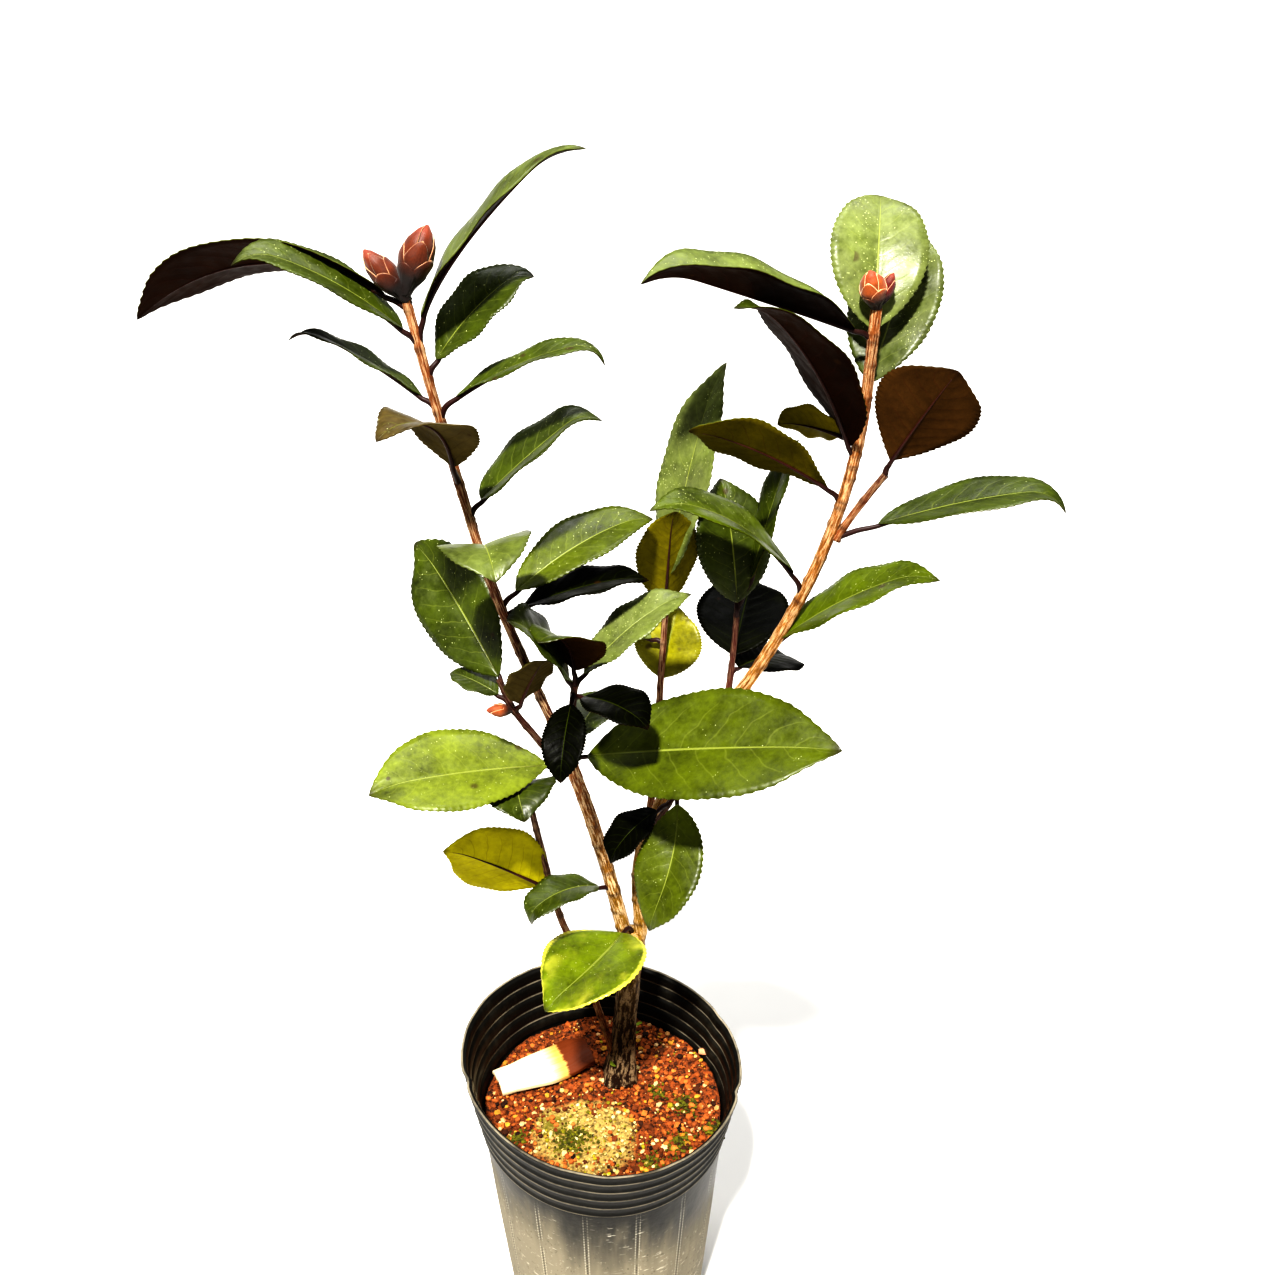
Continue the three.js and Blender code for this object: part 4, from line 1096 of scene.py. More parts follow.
class SHRUB_OT_materials(bpy.types.Operator):
    """Makes the shared node groups and every finish"""

    bl_idname = "shrub.materials"
    bl_label = "Finishes"

    def execute(self, context):
        scene = context.scene
        make_vein_group()
        make_mottle_group()
        make_speck_group()
        make_dust_group()
        make_leaf_material("leaf_upper", True)
        make_leaf_material("leaf_under", False)
        make_clouded_material("leaf_stalk", 300.0, 0.4, 0.35, 0.6, 0.3, 0.0003)
        make_bark_material()
        make_bud_material()
        make_pot_material(scene.shrub_pot)
        make_soil_material(scene.shrub_soil)
        make_clouded_material("soil_crumb", 420.0, 0.6, 0.65, 0.95, 0.8, 0.0008)
        make_strip_material(scene.shrub_soil)
        make_floor_material(scene.shrub_stage)
        return {"FINISHED"}


def finish_named(*names):
    missing = [name for name in names if name not in bpy.data.materials]
    if missing:
        raise RuntimeError(f"make the finishes first; there is no {missing}")
    return [bpy.data.materials[name] for name in names]


class SHRUB_OT_leaves(bpy.types.Operator):
    """Builds every leaf, joined into one piece for each mass of foliage"""

    bl_idname = "shrub.leaves"
    bl_label = "Leaves"

    def execute(self, context):
        looks = context.scene.shrub_leaves
        materials = finish_named("leaf_upper", "leaf_under", "leaf_stalk")
        seed = 1
        for node, rows in FOLIAGE.items():
            piece = Piece(cells=3 * len(rows))
            for row in rows:
                build_leaf(piece, row, looks, seed)
                seed += 1
            piece.finish(node + "_leaves", materials, "leaves", node)
        return {"FINISHED"}


# Stems: limb, its tone at the foot and at the tip, its pale streaks, its dark flecks

STEM_PIECES = {
    # The trunk's dark foot is painted shade from the front leaf's shadow
    "trunk_bark": ("old_bark", ["trunk"], [("trunk", "damp", "old", 0.35, 0.9)]),
    "left_stem_bark": ("bark", ["left_stem"], [("left_stem", "old", "grown", 0.85, 0.8)]),
    # The left shoot's dark foot is painted shade below its leaves
    "left_shoot_bark": ("bark", ["left_shoot"], [("left_shoot", "young", "grown", 0.5, 0.35)]),
    "right_stem_bark": (
        "bark",
        ["right_stem"],
        [("right_stem", "old", "grown", 0.5, 0.7), ("right_side", "grown", "young", 0.3, 0.6)],
    ),
    "back_stem_bark": ("bark", ["back_stem"], [("back_stem", "grown", "young", 0.4, 0.5)]),
    "low_left_stem_bark": ("bark", ["low_left_stem"], [("low_left_stem", "grown", "twig", 0.3, 0.5)]),
    "twig_bark": (
        "bark",
        [],
        [
            ("ring_twig", "twig", "twig", 0.1, 0.4),
            ("centre_shoot", "twig", "twig", 0.1, 0.4),
            ("right_low_twig", "young", "twig", 0.1, 0.4),
            ("right_back_twig", "young", "twig", 0.1, 0.4),
        ],
    ),
}

# Broad and fine ridges in the bark: how close round the stem, how close along it, and how strong
BARK_RIDGES = ((1.6, 0.05, 0.65), (3.6, 0.22, 0.45))

# How far the mean bark lies inside the stem's own radius
BARK_SINK = 0.12

# How far apart the rings of a stem's skin are, and how many of them run on below its fork
RING_STEP = 0.9
FORK_RINGS = 12

# The swelling at a leaf scar: its height, its width along the stem and how far off it is looked for
SCAR_HEIGHT = 0.4
SCAR_WIDTH = 0.9
SCAR_REACH = 3

# How far the trunk flares at the soil, and a twig where it leaves its stem and over what length
TRUNK_FLARE = 3.2
TWIG_FLARE = 0.8
TWIG_FLARE_REACH = 2.2


def leaf_marks(name):
    """Where leaves stand or stood on a limb: its share and its side."""
    leaves = [row for rows in FOLIAGE.values() for row in rows if row["limb"] == name]
    marks = [(row["along"], math.radians(row["heading"])) for row in leaves]
    drift = random.Random(len(name) * 7 + 3)
    share = drift.uniform(4, 9) / limbs[name].length
    while share < 0.97:
        marks.append((share, drift.uniform(0, TURN)))
        share += drift.uniform(8, 15) / limbs[name].length
    return marks


def build_limb(piece, name, foot_tone, tip_tone, streaks, flecks, looks):
    """A limb's bark: flared foot, uneven ridges, and a swollen scar under each leaf."""
    limb = limbs[name]
    rings = max(24, round(limb.length / RING_STEP))
    points = [limb.at(i / rings) for i in range(rings + 1)]
    joined = FORK_RINGS if name in FORK_FEET else 0
    if joined:
        foot = Vector(FORK_FEET[name]) + PLANT_AT
        points = [foot.lerp(points[0], i / joined) for i in range(joined)] + points
    total = len(points) - 1
    low, high = limb.radii
    marks = leaf_marks(name)
    seed = len(name) * 13.7

    def along(share):
        return (share * total - joined) / rings

    def ridges(share, angle):
        relief = 0.0
        for width, pace, strength in BARK_RIDGES:
            at = Vector((math.cos(angle) * width, math.sin(angle) * width, share * total * pace + seed))
            relief += strength * noise.noise(at)
        return relief

    def scar(share, angle):
        strength = 0.0
        for mark, side in marks:
            away = (along(share) - mark) * limb.length
            if abs(away) < SCAR_REACH:
                facing = 0.35 + 0.65 * max(0, math.cos(angle - side))
                strength = max(strength, math.exp(-((away / SCAR_WIDTH) ** 2)) * facing)
        return strength

    def radius(share, angle):
        s = clamp01(along(share))
        bare = mix(low, high, s) * (1 + 0.05 * math.sin(5 * angle + 7 * s))
        if name == "trunk":
            bare += TRUNK_FLARE * (1 - s) ** 5 * (1 + 0.35 * math.sin(4 * angle + 1))
            bare += 0.5 * smooth(0.75, 1, s)
        elif not joined:
            bare += TWIG_FLARE * math.exp(-s * limb.length / TWIG_FLARE_REACH)
        if name == "trunk" and share > 0.985:
            bare *= 0.8
        relief = looks.relief / MM * min(1.0, bare / 2.4) * ridges(share, angle)
        swelling = SCAR_HEIGHT * scar(share, angle) * min(1.0, bare / 2)
        return bare - BARK_SINK + relief + swelling

    first, last = tone_of(looks, foot_tone), tone_of(looks, tip_tone)
    streak_and_highlight = tuple(looks.streak_and_highlight)

    def paint(vertex, share, angle):
        s = clamp01(along(share))
        place = (math.cos(angle), math.sin(angle), share * total * 0.9 + seed)
        # On the trunk the painted shade of its foot reaches up most of its height
        tone = mix_colour(first, last, s**3 if name == "trunk" else s)
        piece.colour(vertex, tone, streak_and_highlight, place, (streaks, flecks, scar(share, angle)))

    around = 28 if low > 2.2 else 18
    piece.tube(points, radius, paint, around)


class SHRUB_OT_stems(bpy.types.Operator):
    """Builds the trunk, stems and twigs with their bark"""

    bl_idname = "shrub.stems"
    bl_label = "Stems"

    def execute(self, context):
        looks = context.scene.shrub_stems
        materials = finish_named("stem_bark")
        for name, (slot, nodes, rows) in STEM_PIECES.items():
            piece = Piece(cells=len(rows))
            for row in rows:
                build_limb(piece, *row, looks)
            piece.finish(name, materials, slot, *nodes)
        return {"FINISHED"}


# A bud's outline: shares of its length, and of its widest radius there
BUD_RINGS = [(-0.12, 0.25), (0.08, 0.42), (0.3, 0.82), (0.5, 1.0), (0.72, 0.86), (0.9, 0.5), (1.0, 0.1)]

# The turn from one scale of a bud to the next
GOLDEN_ANGLE = math.radians(137.5)

# The core's share of a bud's girth, the thickness of a scale, and the radius from which a bud is fat
BUD_CORE = 0.9
SCALE_THICK = 0.24
FAT_BUD = 3.5


def bud_girth(s):
    """A bud's radius at a share of its length, as a share of its widest radius."""
    for (a, low), (b, high) in zip(BUD_RINGS, BUD_RINGS[1:]):
        if s <= b:
            return mix(low, high, smooth(a, b, s) * 0.4 + clamp01((s - a) / (b - a)) * 0.6)
    return BUD_RINGS[-1][1]


def build_bud(piece, row, looks, seed):
    """One bud: a core, and scales that lap over each other from its foot up."""
    limb, along, heading, rise, size, radius, tone = row
    start = limbs[limb].at(along)
    ahead, level, face = heading_frame(math.radians(heading), math.radians(rise))
    rings = 26
    low = BUD_RINGS[0][0]
    points = [start + ahead * (size * mix(low, 1.0, i / rings)) for i in range(rings + 1)]
    scale_tone = tone_of(looks, tone)
    edge = tuple(looks.edge)
    tip = tuple(looks.tip)

    def core_radius(share, angle):
        return bud_girth(mix(low, 1.0, share)) * radius * BUD_CORE

    def painted_shade_tone(s):
        """Nearly black at the bud's foot as painted shade under the leaf bases, then its own colour, then its
        pinker tip.
        """
        lit = mix_colour(BLACK, scale_tone, mix(0.06, 1, smooth(0.2, 0.6, s)))
        return mix_colour(lit, tip, 0.7 * smooth(0.72, 1, s))

    def paint_core(vertex, share, angle):
        piece.colour(vertex, painted_shade_tone(mix(low, 1.0, share)), edge, (angle, share, seed))

    piece.tube(points, core_radius, paint_core, 20)

    scale_count = looks.scales if radius > FAT_BUD else max(5, looks.scales - 5)
    for i in range(scale_count):
        order = i / (scale_count - 1)
        middle = i * GOLDEN_ANGLE + seed
        foot = mix(-0.08, 0.16, order)
        head = mix(0.22, 0.985, order**0.8)
        spread = mix(1.25, 0.8, order)
        proud = mix(0.26, 0.06, order) * radius / 4.3

        def place(u, w, side):
            across = u * 2 - 1
            half = spread * max(0.0, 1 - w**2.6) ** 0.62 + 0.02
            angle = middle + across * half
            s = mix(foot, head, w)
            girth = bud_girth(s) * radius + proud + 0.05 * w**4 + side * SCALE_THICK / 2
            out = level * math.cos(angle) + face * math.sin(angle)
            return start + ahead * (size * s) + out * max(girth, 0.25)

        def paint(vertex, u, w, side):
            across = abs(u * 2 - 1)
            s = mix(foot, head, w)
            near = max(across**5, w**7) * smooth(0.2, 0.5, s)
            dry = 1.0 if tone == "pale" else 0.85
            piece.colour(vertex, painted_shade_tone(s), edge, (u, w, seed + i), (near * dry, 0, 0))

        piece.sheet(10, 14, place, paint, faces=(0, 0))


class SHRUB_OT_buds(bpy.types.Operator):
    """Builds the flower and leaf buds with their scales"""

    bl_idname = "shrub.buds"
    bl_label = "Buds"

    def execute(self, context):
        looks = context.scene.shrub_buds
        materials = finish_named("bud_scale")
        for name, rows in BUDS.items():
            piece = Piece(cells=len(rows) * (1 + 2 * looks.scales))
            for i, row in enumerate(rows):
                build_bud(piece, row, looks, i * 2.1)
            piece.finish(name, materials, "leaves")
        return {"FINISHED"}


# The pot and what fills it

# Ribs in the band, and how much lower than its middle the rim is at the right, in millimetres
RIB_COUNT = 5
RIM_TILT = 5

# Pinches of the band: heading and width in degrees, and depth as a share of the radius
PINCHES = ((196, 3.2, 0.022), (347, 2.6, 0.02), (28, 4, 0.01), (262, 7, 0.006))

# The dent at the front left: its depth as a share of the radius, and its heading
DENT_DEPTH = 0.05
DENT_HEADING = math.radians(228)

# Heights of the soil's surface and foot in millimetres, and the rings of its surface
SOIL_LEVEL = 115
SOIL_FOOT = 2.2
SOIL_RINGS = 60


def warp_pot(x, y, z):
    """A soft pot: pressed in at its front left, with its rim higher on the left."""
    angle = math.atan2(y, x)
    up = clamp01(z / POT_HEIGHT)
    dent = 1 - DENT_DEPTH * up * max(0, math.cos(angle - DENT_HEADING)) ** 3
    wave = 1 + 0.006 * up * math.sin(3 * angle + 1)
    drop = RIM_TILT * up**3 * math.cos(angle + math.radians(10)) * clamp01(math.hypot(x, y) / POT_BASE)
    return Vector((x * dent * wave + PLANT_AT.x * up, y * dent * wave, z - drop))


def rib_crest(t):
    """1 on the crest of a rib and 0 between ribs, at a share of the band's height."""
    return (0.5 + 0.5 * math.cos(TURN * RIB_COUNT * t)) ** 3


def pot_radius(pot, z):
    """The pot's outer radius at a height, in millimetres, before it is pressed out of round."""
    foot = (pot.height - pot.band_height) / MM
    if z < foot:
        return mix(pot.base_radius / MM, pot.body_top / MM, z / foot)
    t = (z - foot) / (pot.band_height / MM)
    return mix(pot.band_foot / MM, pot.rim_radius / MM, t) - pot.rib_depth / MM * (1 - rib_crest(t))


def spin_profile(bm, profile, steps):
    """Turns a line of radius and height about the upright axis into a closed skin."""
    verts = [bm.verts.new((r, 0, z)) for r, z in profile]
    edges = [bm.edges.new(pair) for pair in zip(verts, verts[1:])]
    bmesh.ops.spin(
        bm, geom=verts + edges, cent=(0, 0, 0), axis=(0, 0, 1), angle=TURN, steps=steps, use_merge=True
    )
    bmesh.ops.remove_doubles(bm, verts=bm.verts, dist=1e-4)
    bmesh.ops.recalc_face_normals(bm, faces=bm.faces)


class SHRUB_OT_pot(bpy.types.Operator):
    """Builds the soft ribbed pot"""

    bl_idname = "shrub.pot"
    bl_label = "Pot"

    def execute(self, context):
        pot = context.scene.shrub_pot
        height = pot.height / MM
        wall = pot.wall / MM
        foot = height - pot.band_height / MM
        base = pot.base_radius / MM
        # Up the outside
        profile = [(0, 0), (base * 0.5, 0), (base - 1.6, 0), (base - 0.5, 0.4), (pot_radius(pot, 1.6), 1.6)]
        z = 4.0
        while z < foot - 1:
            profile.append((pot_radius(pot, z), z))
            z += 3.0
        profile += [(pot_radius(pot, foot - 0.9), foot - 0.9), (pot_radius(pot, foot - 0.1), foot - 0.3)]
        steps = RIB_COUNT * 12
        for i in range(steps):
            z = mix(foot, height - 1.0, i / steps)
            profile.append((pot_radius(pot, z + 0.01), z))
        # Over the rim and down the inside
        top = pot.rim_radius / MM
        profile += [(top, height - 0.8), (top - 0.15, height - 0.2), (top - 0.6, height)]
        profile += [(top - 1.0, height - 0.2), (top - wall, height - 0.8)]
        for i in range(steps, 0, -1):
            z = mix(foot, height - 1.2, i / steps)
            profile.append((pot_radius(pot, z) - wall, z))
        profile += [(pot_radius(pot, foot - 1) - wall, foot - 1), (base - wall + 0.3, 3)]
        profile += [(base - wall - 1, wall), (base * 0.5, wall), (0, wall)]
        bm = bmesh.new()
        spin_profile(bm, profile, 160)
        trait = bm.verts.layers.float_vector.new("trait")
        for vertex in bm.verts:
            x, y, z = vertex.co
            inner = 1.0 if math.hypot(x, y) < pot_radius(pot, z) - wall * 0.6 else 0.0
            crest = rib_crest((z - foot) / (height - foot)) if z > foot - 1 else 0
            vertex[trait] = (crest, inner, z / height)
            angle = math.degrees(math.atan2(y, x)) % 360
            up = smooth(foot - 6, foot + 10, z)
            pinch = sum(
                depth * up * math.exp(-(((angle - turn + 180) % 360 - 180) / width) ** 2)
                for turn, width, depth in PINCHES
            )
            sag = 0.004 * math.sin(z / 17 + angle / 23) * smooth(4, 30, z) * (1 - up)
            shrink = 1 - pinch - max(0.0, sag)
            flutter = 0.35 * smooth(foot + 15, height, z) * noise.noise(Vector((angle / 9, z / 14, 3)))
            vertex.co = warp_pot(x * shrink, y * shrink, z + flutter) * MM
        mesh = smooth_mesh_from("pot_film", bm)
        piece = place_piece("pot_film", mesh, finish_named("pot_film"), "pot", "pot")
        cut_drain_holes(piece, wall)
        return {"FINISHED"}


# The drain holes through the pot's underside, in millimetres
DRAIN_COUNT = 6
DRAIN_RADIUS = 4.5
DRAIN_RING = 28
DRAIN_DEPTH = 6


def cut_drain_holes(piece, wall):
    """Cuts the round drain holes through the pot's underside."""
    bm = bmesh.new()
    radius = DRAIN_RADIUS * MM
    for i in range(DRAIN_COUNT):
        turn = TURN * i / DRAIN_COUNT
        middle = Vector((DRAIN_RING * math.cos(turn), DRAIN_RING * math.sin(turn), wall / 2))
        made = bmesh.ops.create_cone(
            bm, cap_ends=True, segments=24, radius1=radius, radius2=radius, depth=DRAIN_DEPTH * MM
        )
        bmesh.ops.translate(bm, verts=made["verts"], vec=middle * MM)
    cutter = bpy.data.objects.new("drain_holes", mesh_from("drain_holes", bm))
    bpy.context.scene.collection.objects.link(cutter)
    cut = piece.modifiers.new("drain holes", "BOOLEAN")
    cut.operation = "DIFFERENCE"
    cut.object = cutter
    cut.solver = "EXACT"
    bpy.context.view_layer.update()
    evaluated = piece.evaluated_get(bpy.context.evaluated_depsgraph_get())
    finished = bpy.data.meshes.new_from_object(evaluated)
    piece.modifiers.clear()
    piece.data = finished
    bpy.data.objects.remove(cutter)


# Moss on the soil: its middle, how far it spreads, and its tufts
MOSS_PATCHES = (
    ((-13, -20), 8, 220), ((35, 0), 7, 140), ((23, 6), 5, 60), ((46, -15), 5, 90),
    ((31, -22), 7, 130), ((-37, -19), 5, 80), ((19, -31), 7, 90),
)

# Thin green sprouts: where they stand and how tall, and the length and half width of their leaves
SPROUTS = ((12.8, 37.7, 9), (10.5, 36.5, 6), (2.2, 12.7, 13), (4.5, 20.5, 5))
SPROUT_LEAF = 3.4
SPROUT_LEAF_HALF = 1.1

# The curled chip of bark: where it lies, its length and its half width
CHIP_AT = (46.7, 28.5)
CHIP_LENGTH = 9.5
CHIP_HALF = 2.6

# The trunk's foot in the part's frame, and the ring round it that stays clear of crumbs
TRUNK_FOOT = (6, 15)
CLEAR_RING = 7.5


def soil_top(x, y):
    """Height of the soil at a spot, in millimetres: gently rolling, and level round the trunk."""
    free = smooth(9, 24, math.hypot(x - TRUNK_FOOT[0], y - TRUNK_FOOT[1]))
    x -= PLANT_AT.x
    rolling = 0.9 * math.sin(0.11 * x + 0.6) * math.cos(0.13 * y) + 0.5 * math.sin(0.23 * x - 0.19 * y)
    return SOIL_LEVEL + free * rolling


def cream_share(x, y):
    """How pale and dry the soil is: most at the front middle."""
    cloud = noise.noise(Vector((x / 9, y / 9, 0))) * 0.9
    near = smooth(1.5, 0.3, math.hypot((x - CREAM_AT[0]) / 26, (y - CREAM_AT[1]) / 22))
    return clamp01(near + cloud - 0.08)


# Sizes of the crumbs as shares of a middling one
CRUMB_SIZES = (0.35, 0.45, 0.6, 0.7, 0.9, 1.2, 1.7)

# Chances of a crumb's tones: pale where the soil is pale and mossy among those, then red and
# ochre or damp among those; the rest are buff chips
PALE_CHANCE = 0.85
MOSSY_CHANCE = 0.3
RED_CHANCE = 0.93
OCHRE_CHANCE = 0.14
DAMP_CHANCE = 0.5


def crumb_tone(soil, cream, chance, drift):
    """The colour dealt to a crumb. Where two chances come up, the later one counts."""
    pale, moss, red, dark = (tone_of(soil, name) for name in ("pale", "moss", "red", "dark"))
    if chance < cream * PALE_CHANCE:
        tone = mix_colour(pale, linear("#cfbd88"), drift.random())
        if drift.random() < MOSSY_CHANCE:
            tone = mix_colour(moss, linear("#a3921c"), drift.random())
    elif chance < RED_CHANCE:
        tone = mix_colour(red, linear("#bb7030"), drift.random() ** 1.5)
        if drift.random() < OCHRE_CHANCE:
            tone = mix_colour(linear("#94661c"), linear("#b98a30"), drift.random())
        if drift.random() < DAMP_CHANCE:
            tone = mix_colour(dark, red, drift.random() * 0.7)
    else:
        tone = mix_colour(linear("#b5834e"), linear("#d2b482"), drift.random())
    return tone


class SHRUB_OT_soil(bpy.types.Operator):
    """Builds the soil, its crumbs, moss and sprouts"""

    bl_idname = "shrub.soil"
    bl_label = "Soil"

    def execute(self, context):
        pot = context.scene.shrub_pot
        soil = context.scene.shrub_soil
        edge = pot_radius(pot, 110) - pot.wall / MM - 0.5
        rings = SOIL_RINGS
        profile = [(0, SOIL_FOOT), (pot_radius(pot, 2) - 2.4, SOIL_FOOT)]
        profile += [(pot_radius(pot, 60) - 2, 60), (edge - 0.1, 108)]
        profile += [(edge * i / rings, SOIL_LEVEL) for i in range(rings, -1, -1)]
        bm = bmesh.new()
        spin_profile(bm, profile, 200)
        for vertex in bm.verts:
            x, y, z = vertex.co
            warped = warp_pot(x, y, z)
            if z > SOIL_LEVEL - 3:
                grain = 0.55 * noise.noise(Vector((x / 3.1, y / 3.1, 5)))
                grain += 0.3 * noise.noise(Vector((x / 1.2, y / 1.2, 9)))
                warped.z = soil_top(warped.x, warped.y) - 0.4 + grain
            vertex.co = warped * MM
        mesh = smooth_mesh_from("soil_bed", bm)
        place_piece("soil_bed", mesh, finish_named("soil_bed"), "soil", "soil")
        self.scatter_crumbs(soil, edge)
        self.grow_sprouts()
        return {"FINISHED"}

    def scatter_crumbs(self, soil, edge):
        """Crumbs of every tone all over the soil, then tufts of moss in patches."""
        piece = Piece()
        drift = random.Random(11)
        for _ in range(soil.crumb_count):
            turn = drift.uniform(0, TURN)
            out = (edge - 1.2) * math.sqrt(drift.random())
            warped = warp_pot(out * math.cos(turn), out * math.sin(turn), SOIL_LEVEL)
            x, y = warped.x, warped.y
            if math.hypot(x - TRUNK_FOOT[0], y - TRUNK_FOOT[1]) < CLEAR_RING:
                continue
            cream = cream_share(x, y)
            chance = drift.random()
            size = soil.crumb_size / MM / 2 * drift.choice(CRUMB_SIZES) * mix(1.0, 0.6, cream)
            tone = crumb_tone(soil, cream, chance, drift)
            height = soil_top(x, y) + size * 0.25
            self.crumb(piece, Vector((x, y, height)), size, tone, drift)
        for mossy, spread, count in MOSS_PATCHES:
            for _ in range(count):
                x = drift.gauss(mossy[0], spread * 0.42)
                y = drift.gauss(mossy[1], spread * 0.42)
                tone = mix_colour(linear("#2c2c05"), linear("#62600e"), drift.random())
                self.crumb(piece, Vector((x, y, soil_top(x, y) + 0.3)), drift.uniform(0.4, 0.8), tone, drift)
        piece.finish("soil_crumbs", finish_named("soil_crumb"), "soil")

    def crumb(self, piece, at, size, tone, drift):
        """One uneven grain, stretched and turned at random."""
        made = bmesh.ops.create_icosphere(piece.bm, subdivisions=1, radius=1.0)["verts"]
        stretch = Vector((drift.uniform(0.75, 1.3), drift.uniform(0.75, 1.3), drift.uniform(0.5, 0.9))) * size
        turn = drift.uniform(0, TURN)
        cos, sin = math.cos(turn), math.sin(turn)
        for vertex in made:
            local = vertex.co * drift.uniform(0.8, 1.15)
            x, y, z = local.x * stretch.x, local.y * stretch.y, local.z * stretch.z
            vertex.co = (at + Vector((x * cos - y * sin, x * sin + y * cos, z))) * MM
            piece.colour(vertex, tone)

    def grow_sprouts(self):
        """Thin green shoots and a curled chip of bark on the soil."""
        piece = Piece(cells=40)
        drift = random.Random(5)
        green = linear("#66741a")

        def paint(vertex, *_):
            piece.colour(vertex, green)

        for x, y, tall in SPROUTS:
            lean = Vector((drift.uniform(-0.25, 0.25), drift.uniform(-0.3, 0.1), 1))
            foot = Vector((x, y, soil_top(x, y) - 0.5))
            points = [foot + lean * (tall * i / 8) for i in range(9)]
            piece.tube(points, lambda share, angle: mix(0.35, 0.2, share), paint, 7)
            for i in range(3):
                heading = drift.uniform(0, TURN)
                ahead, level, face = heading_frame(heading, 0.5)

                def place(u, w, side):
                    half = SPROUT_LEAF_HALF * math.sin(math.pi * clamp01(w * 0.96 + 0.02)) ** 0.7
                    across = (u * 2 - 1) * half
                    return points[-1] + ahead * (SPROUT_LEAF * w) + level * across + face * (side * 0.12)

                piece.sheet(4, 6, place, paint, faces=(0, 0))
        chip_at = Vector((*CHIP_AT, soil_top(*CHIP_AT) + 1.2))
        peach = linear("#c08c66")

        def chip(u, w, side):
            across = u * 2 - 1
            half = CHIP_HALF * math.sin(math.pi * mix(0.12, 0.9, w)) ** 0.6
            bow = 1.4 * (1 - across**2)
            lift = bow + 1.2 * (w - 0.5) + side * 0.25
            return chip_at + Vector(((w - 0.5) * CHIP_LENGTH, across * half * 0.9, lift))

        piece.sheet(8, 12, chip, lambda vertex, *_: piece.colour(vertex, peach), faces=(0, 0))
        piece.finish("sprouts_and_chip", finish_named("soil_crumb"), "soil")


class SHRUB_OT_strip(bpy.types.Operator):
    """Builds the strip of split wood that lies on the soil"""

    bl_idname = "shrub.strip"
    bl_label = "Wood strip"

    LENGTH = 43
    WIDTH = 18
    THICK = 2
    BOW = 2
    CURL = 3
    CENTRE = (-28.3, 17)
    TURNED = math.radians(24)

    def execute(self, context):
        piece = Piece(cells=2)
        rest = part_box("wood_strip")[0].z / MM
        cos, sin = math.cos(self.TURNED), math.sin(self.TURNED)

        def place(u, w, side):
            a = w - 0.5
            across = u * 2 - 1
            pinch = 0.4 * smooth(0.3, 0.5, a) if across > 0 else 0.05 * smooth(0.3, 0.5, a)
            half = self.WIDTH / 2 * (0.78 + 0.3 * smooth(-0.5, 0.1, a) - pinch)
            frayed = 0.5 * noise.noise(Vector((across * 3, w * 2, 1)))
            bow = self.BOW * (1 - across**2) + self.CURL * smooth(0.1, 0.5, a)
            x = a * self.LENGTH + (frayed * 2.2 if w < 0.01 or w > 0.99 else 0)
            y = across * half + 0.3 * noise.noise(Vector((w * 7, across, 4)))
            grain = 0.2 * noise.noise(Vector((w * 2, across * 6, 7)))
            z = rest + bow + (self.THICK if side > 0 else 0.0) + grain
            return Vector((self.CENTRE[0] + x * cos - y * sin, self.CENTRE[1] + x * sin + y * cos, z))

        def paint(vertex, u, w, side):
            piece.colour(vertex, (1, 1, 1, 1), place=(u, w, side * 0.3))

        piece.sheet(18, 40, place, paint, faces=(0, 0))
        strip = piece.finish("split_wood_strip", finish_named("split_wood"), "cut_wood", "wood_strip")
        soften = strip.modifiers.new("soft edges", "BEVEL")
        soften.width = 0.3 * MM
        soften.segments = 2
        soften.limit_method = "ANGLE"
        soften.angle_limit = math.radians(50)
        return {"FINISHED"}


# Half the floor's width, where it starts to curve up at the back, and the radius of that curve, in metres
FLOOR_REACH = 3.0
SWEEP_START = 1.6
SWEEP_RADIUS = 0.8

# Area lights: the setting with the power, place, size, tint and the spot each faces, in metres
LIGHTS = {
    "key_light": ("key_power", (-0.24, -1.09, 2.03), 0.13, (1.0, 0.97, 0.92), (0, 0, 0.25)),
    "fill_light": ("fill_power", (1.3, -0.7, 0.9), 1.4, (0.97, 0.98, 1.0), (0, 0, 0.25)),
    "back_light": ("fill_power", (0.5, 1.2, 1.5), 1.2, (1.0, 1.0, 1.0), (0, 0, 0.25)),
    "backdrop_light": ("backdrop_power", (0, 0.7, 2.0), 1.6, (1.0, 1.0, 1.0), (0, 2.3, 0.8)),
}

CAMERA_AT = (14, -383, 545)
CAMERA_TILT = math.radians(62.4)
CAMERA_LENS = 34.73


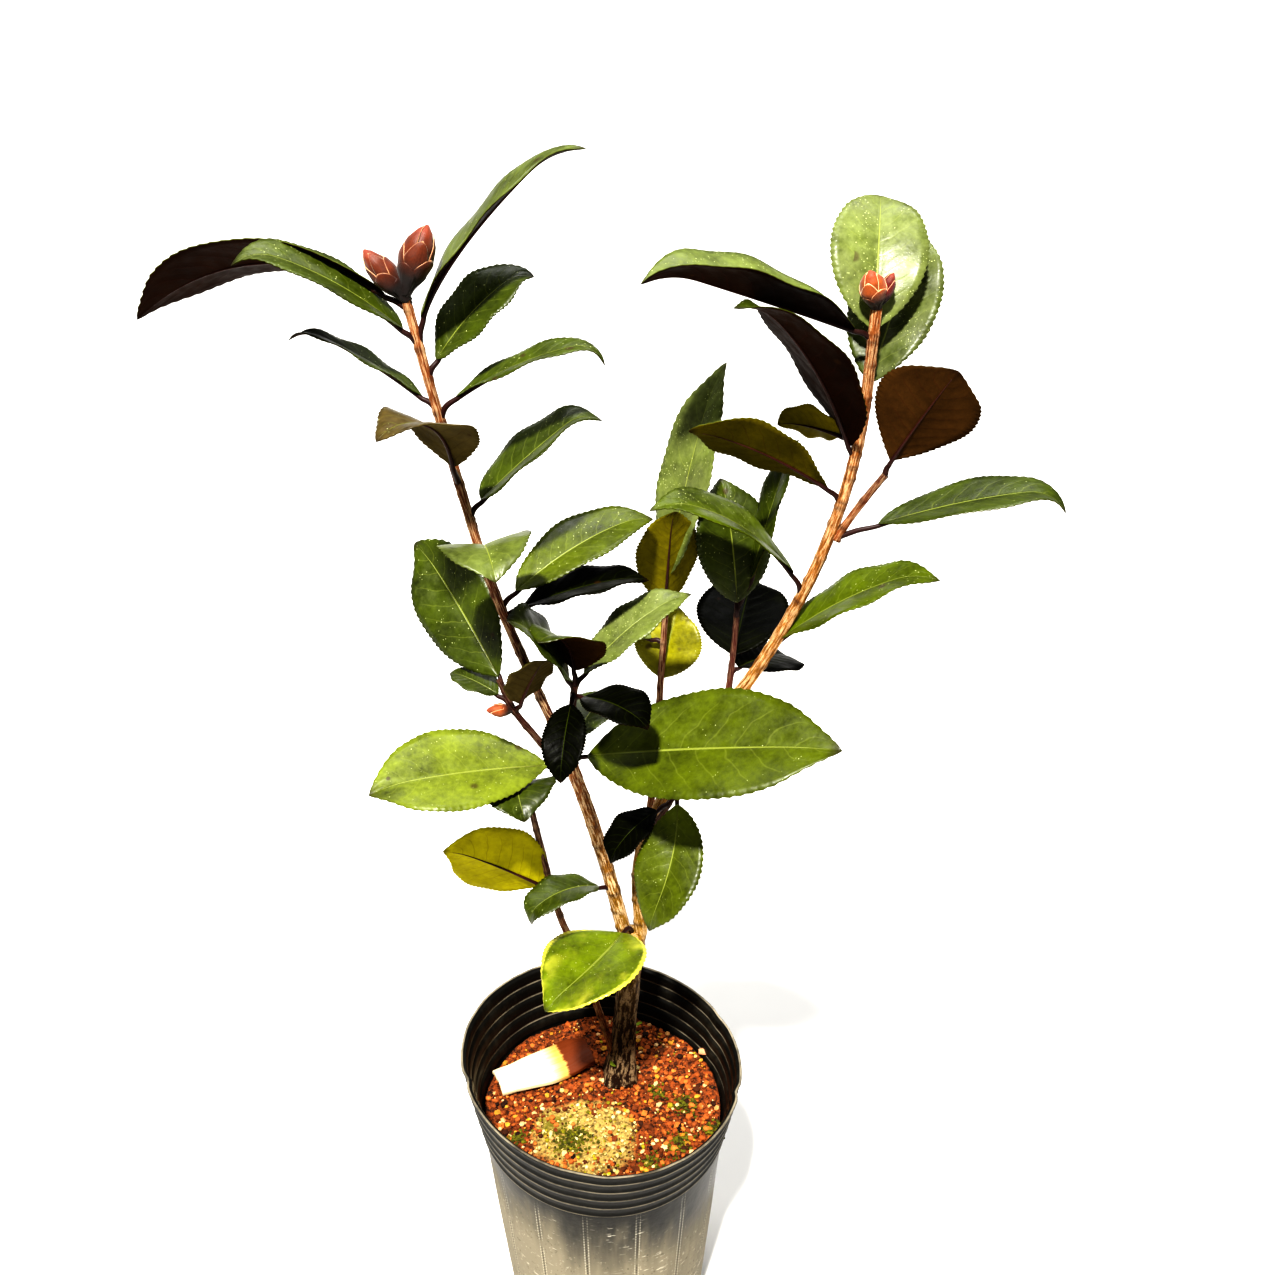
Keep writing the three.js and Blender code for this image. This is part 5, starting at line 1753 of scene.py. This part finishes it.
class SHRUB_OT_stage(bpy.types.Operator):
    """Lays the floor and sets the lights and the camera"""

    bl_idname = "shrub.stage"
    bl_label = "Stage"

    def execute(self, context):
        scene = context.scene
        looks = scene.shrub_stage
        bm = bmesh.new()
        bmesh.ops.create_grid(bm, x_segments=8, y_segments=60, size=FLOOR_REACH)
        for vertex in bm.verts:
            back = max(0.0, vertex.co.y - SWEEP_START)
            turn = min(back / SWEEP_RADIUS, math.pi / 2)
            wall = max(0.0, back - SWEEP_RADIUS * math.pi / 2)
            vertex.co.z = SWEEP_RADIUS * (1 - math.cos(turn)) + wall
            vertex.co.y = min(vertex.co.y, SWEEP_START) + SWEEP_RADIUS * math.sin(turn)
        mesh = smooth_mesh_from("floor", bm)
        mesh.materials.append(finish_named("plain_floor")[0])
        floor = bpy.data.objects.new("floor", mesh)
        scene.collection.objects.link(floor)

        for name, (setting, at, size, tint, towards) in LIGHTS.items():
            data = bpy.data.lights.new(name, "AREA")
            data.size = size
            data.energy = getattr(looks, setting)
            data.color = tint
            lamp = bpy.data.objects.new(name, data)
            lamp.location = at
            lamp.rotation_euler = (Vector(towards) - lamp.location).to_track_quat("-Z", "Y").to_euler()
            scene.collection.objects.link(lamp)

        world = bpy.data.worlds.new("plain_sky")
        world.use_nodes = True
        sky = world.node_tree.nodes["Background"].inputs
        sky["Color"].default_value = (1.0, 1.0, 1.0, 1.0)
        sky["Strength"].default_value = looks.sky
        scene.world = world

        camera = bpy.data.objects.new("camera", bpy.data.cameras.new("camera"))
        camera.location = Vector(CAMERA_AT) * MM
        camera.rotation_euler = (CAMERA_TILT, 0, 0)
        camera.data.lens = CAMERA_LENS
        camera.data.sensor_width = 36
        camera.data.clip_start = 0.01
        scene.collection.objects.link(camera)
        scene.camera = camera
        scene.view_settings.view_transform = "Standard"
        scene.view_settings.look = "High Contrast"
        return {"FINISHED"}


class SHRUB_PT_panel(bpy.types.Panel):
    """Lists the steps that build the shrub"""

    bl_idname = "SHRUB_PT_panel"
    bl_label = "Potted camellia"
    bl_space_type = "VIEW_3D"
    bl_region_type = "UI"
    bl_category = "Shrub"

    def draw(self, context):
        for operator in OPERATORS:
            self.layout.operator(operator.bl_idname)
        for name in SETTINGS:
            box = self.layout.box()
            group = getattr(context.scene, name)
            for key in group.bl_rna.properties.keys():
                if key not in ("rna_type", "name"):
                    box.prop(group, key)


SETTINGS = {
    "shrub_pot": PotSettings,
    "shrub_soil": SoilSettings,
    "shrub_stems": StemSettings,
    "shrub_leaves": LeafSettings,
    "shrub_buds": BudSettings,
    "shrub_stage": StageSettings,
}
OPERATORS = [
    SHRUB_OT_materials,
    SHRUB_OT_stage,
    SHRUB_OT_pot,
    SHRUB_OT_soil,
    SHRUB_OT_strip,
    SHRUB_OT_stems,
    SHRUB_OT_leaves,
    SHRUB_OT_buds,
]


def register():
    for kind in (*SETTINGS.values(), *OPERATORS, SHRUB_PT_panel):
        bpy.utils.register_class(kind)
    for name, kind in SETTINGS.items():
        setattr(bpy.types.Scene, name, bpy.props.PointerProperty(type=kind))


def unregister():
    for name in SETTINGS:
        delattr(bpy.types.Scene, name)
    for kind in (SHRUB_PT_panel, *reversed(OPERATORS), *SETTINGS.values()):
        bpy.utils.unregister_class(kind)


def main():
    register()
    for operator in OPERATORS:
        group, name = operator.bl_idname.split(".")
        getattr(getattr(bpy.ops, group), name)()
    bpy.context.view_layer.update()


if __name__ == "__main__":
    main()
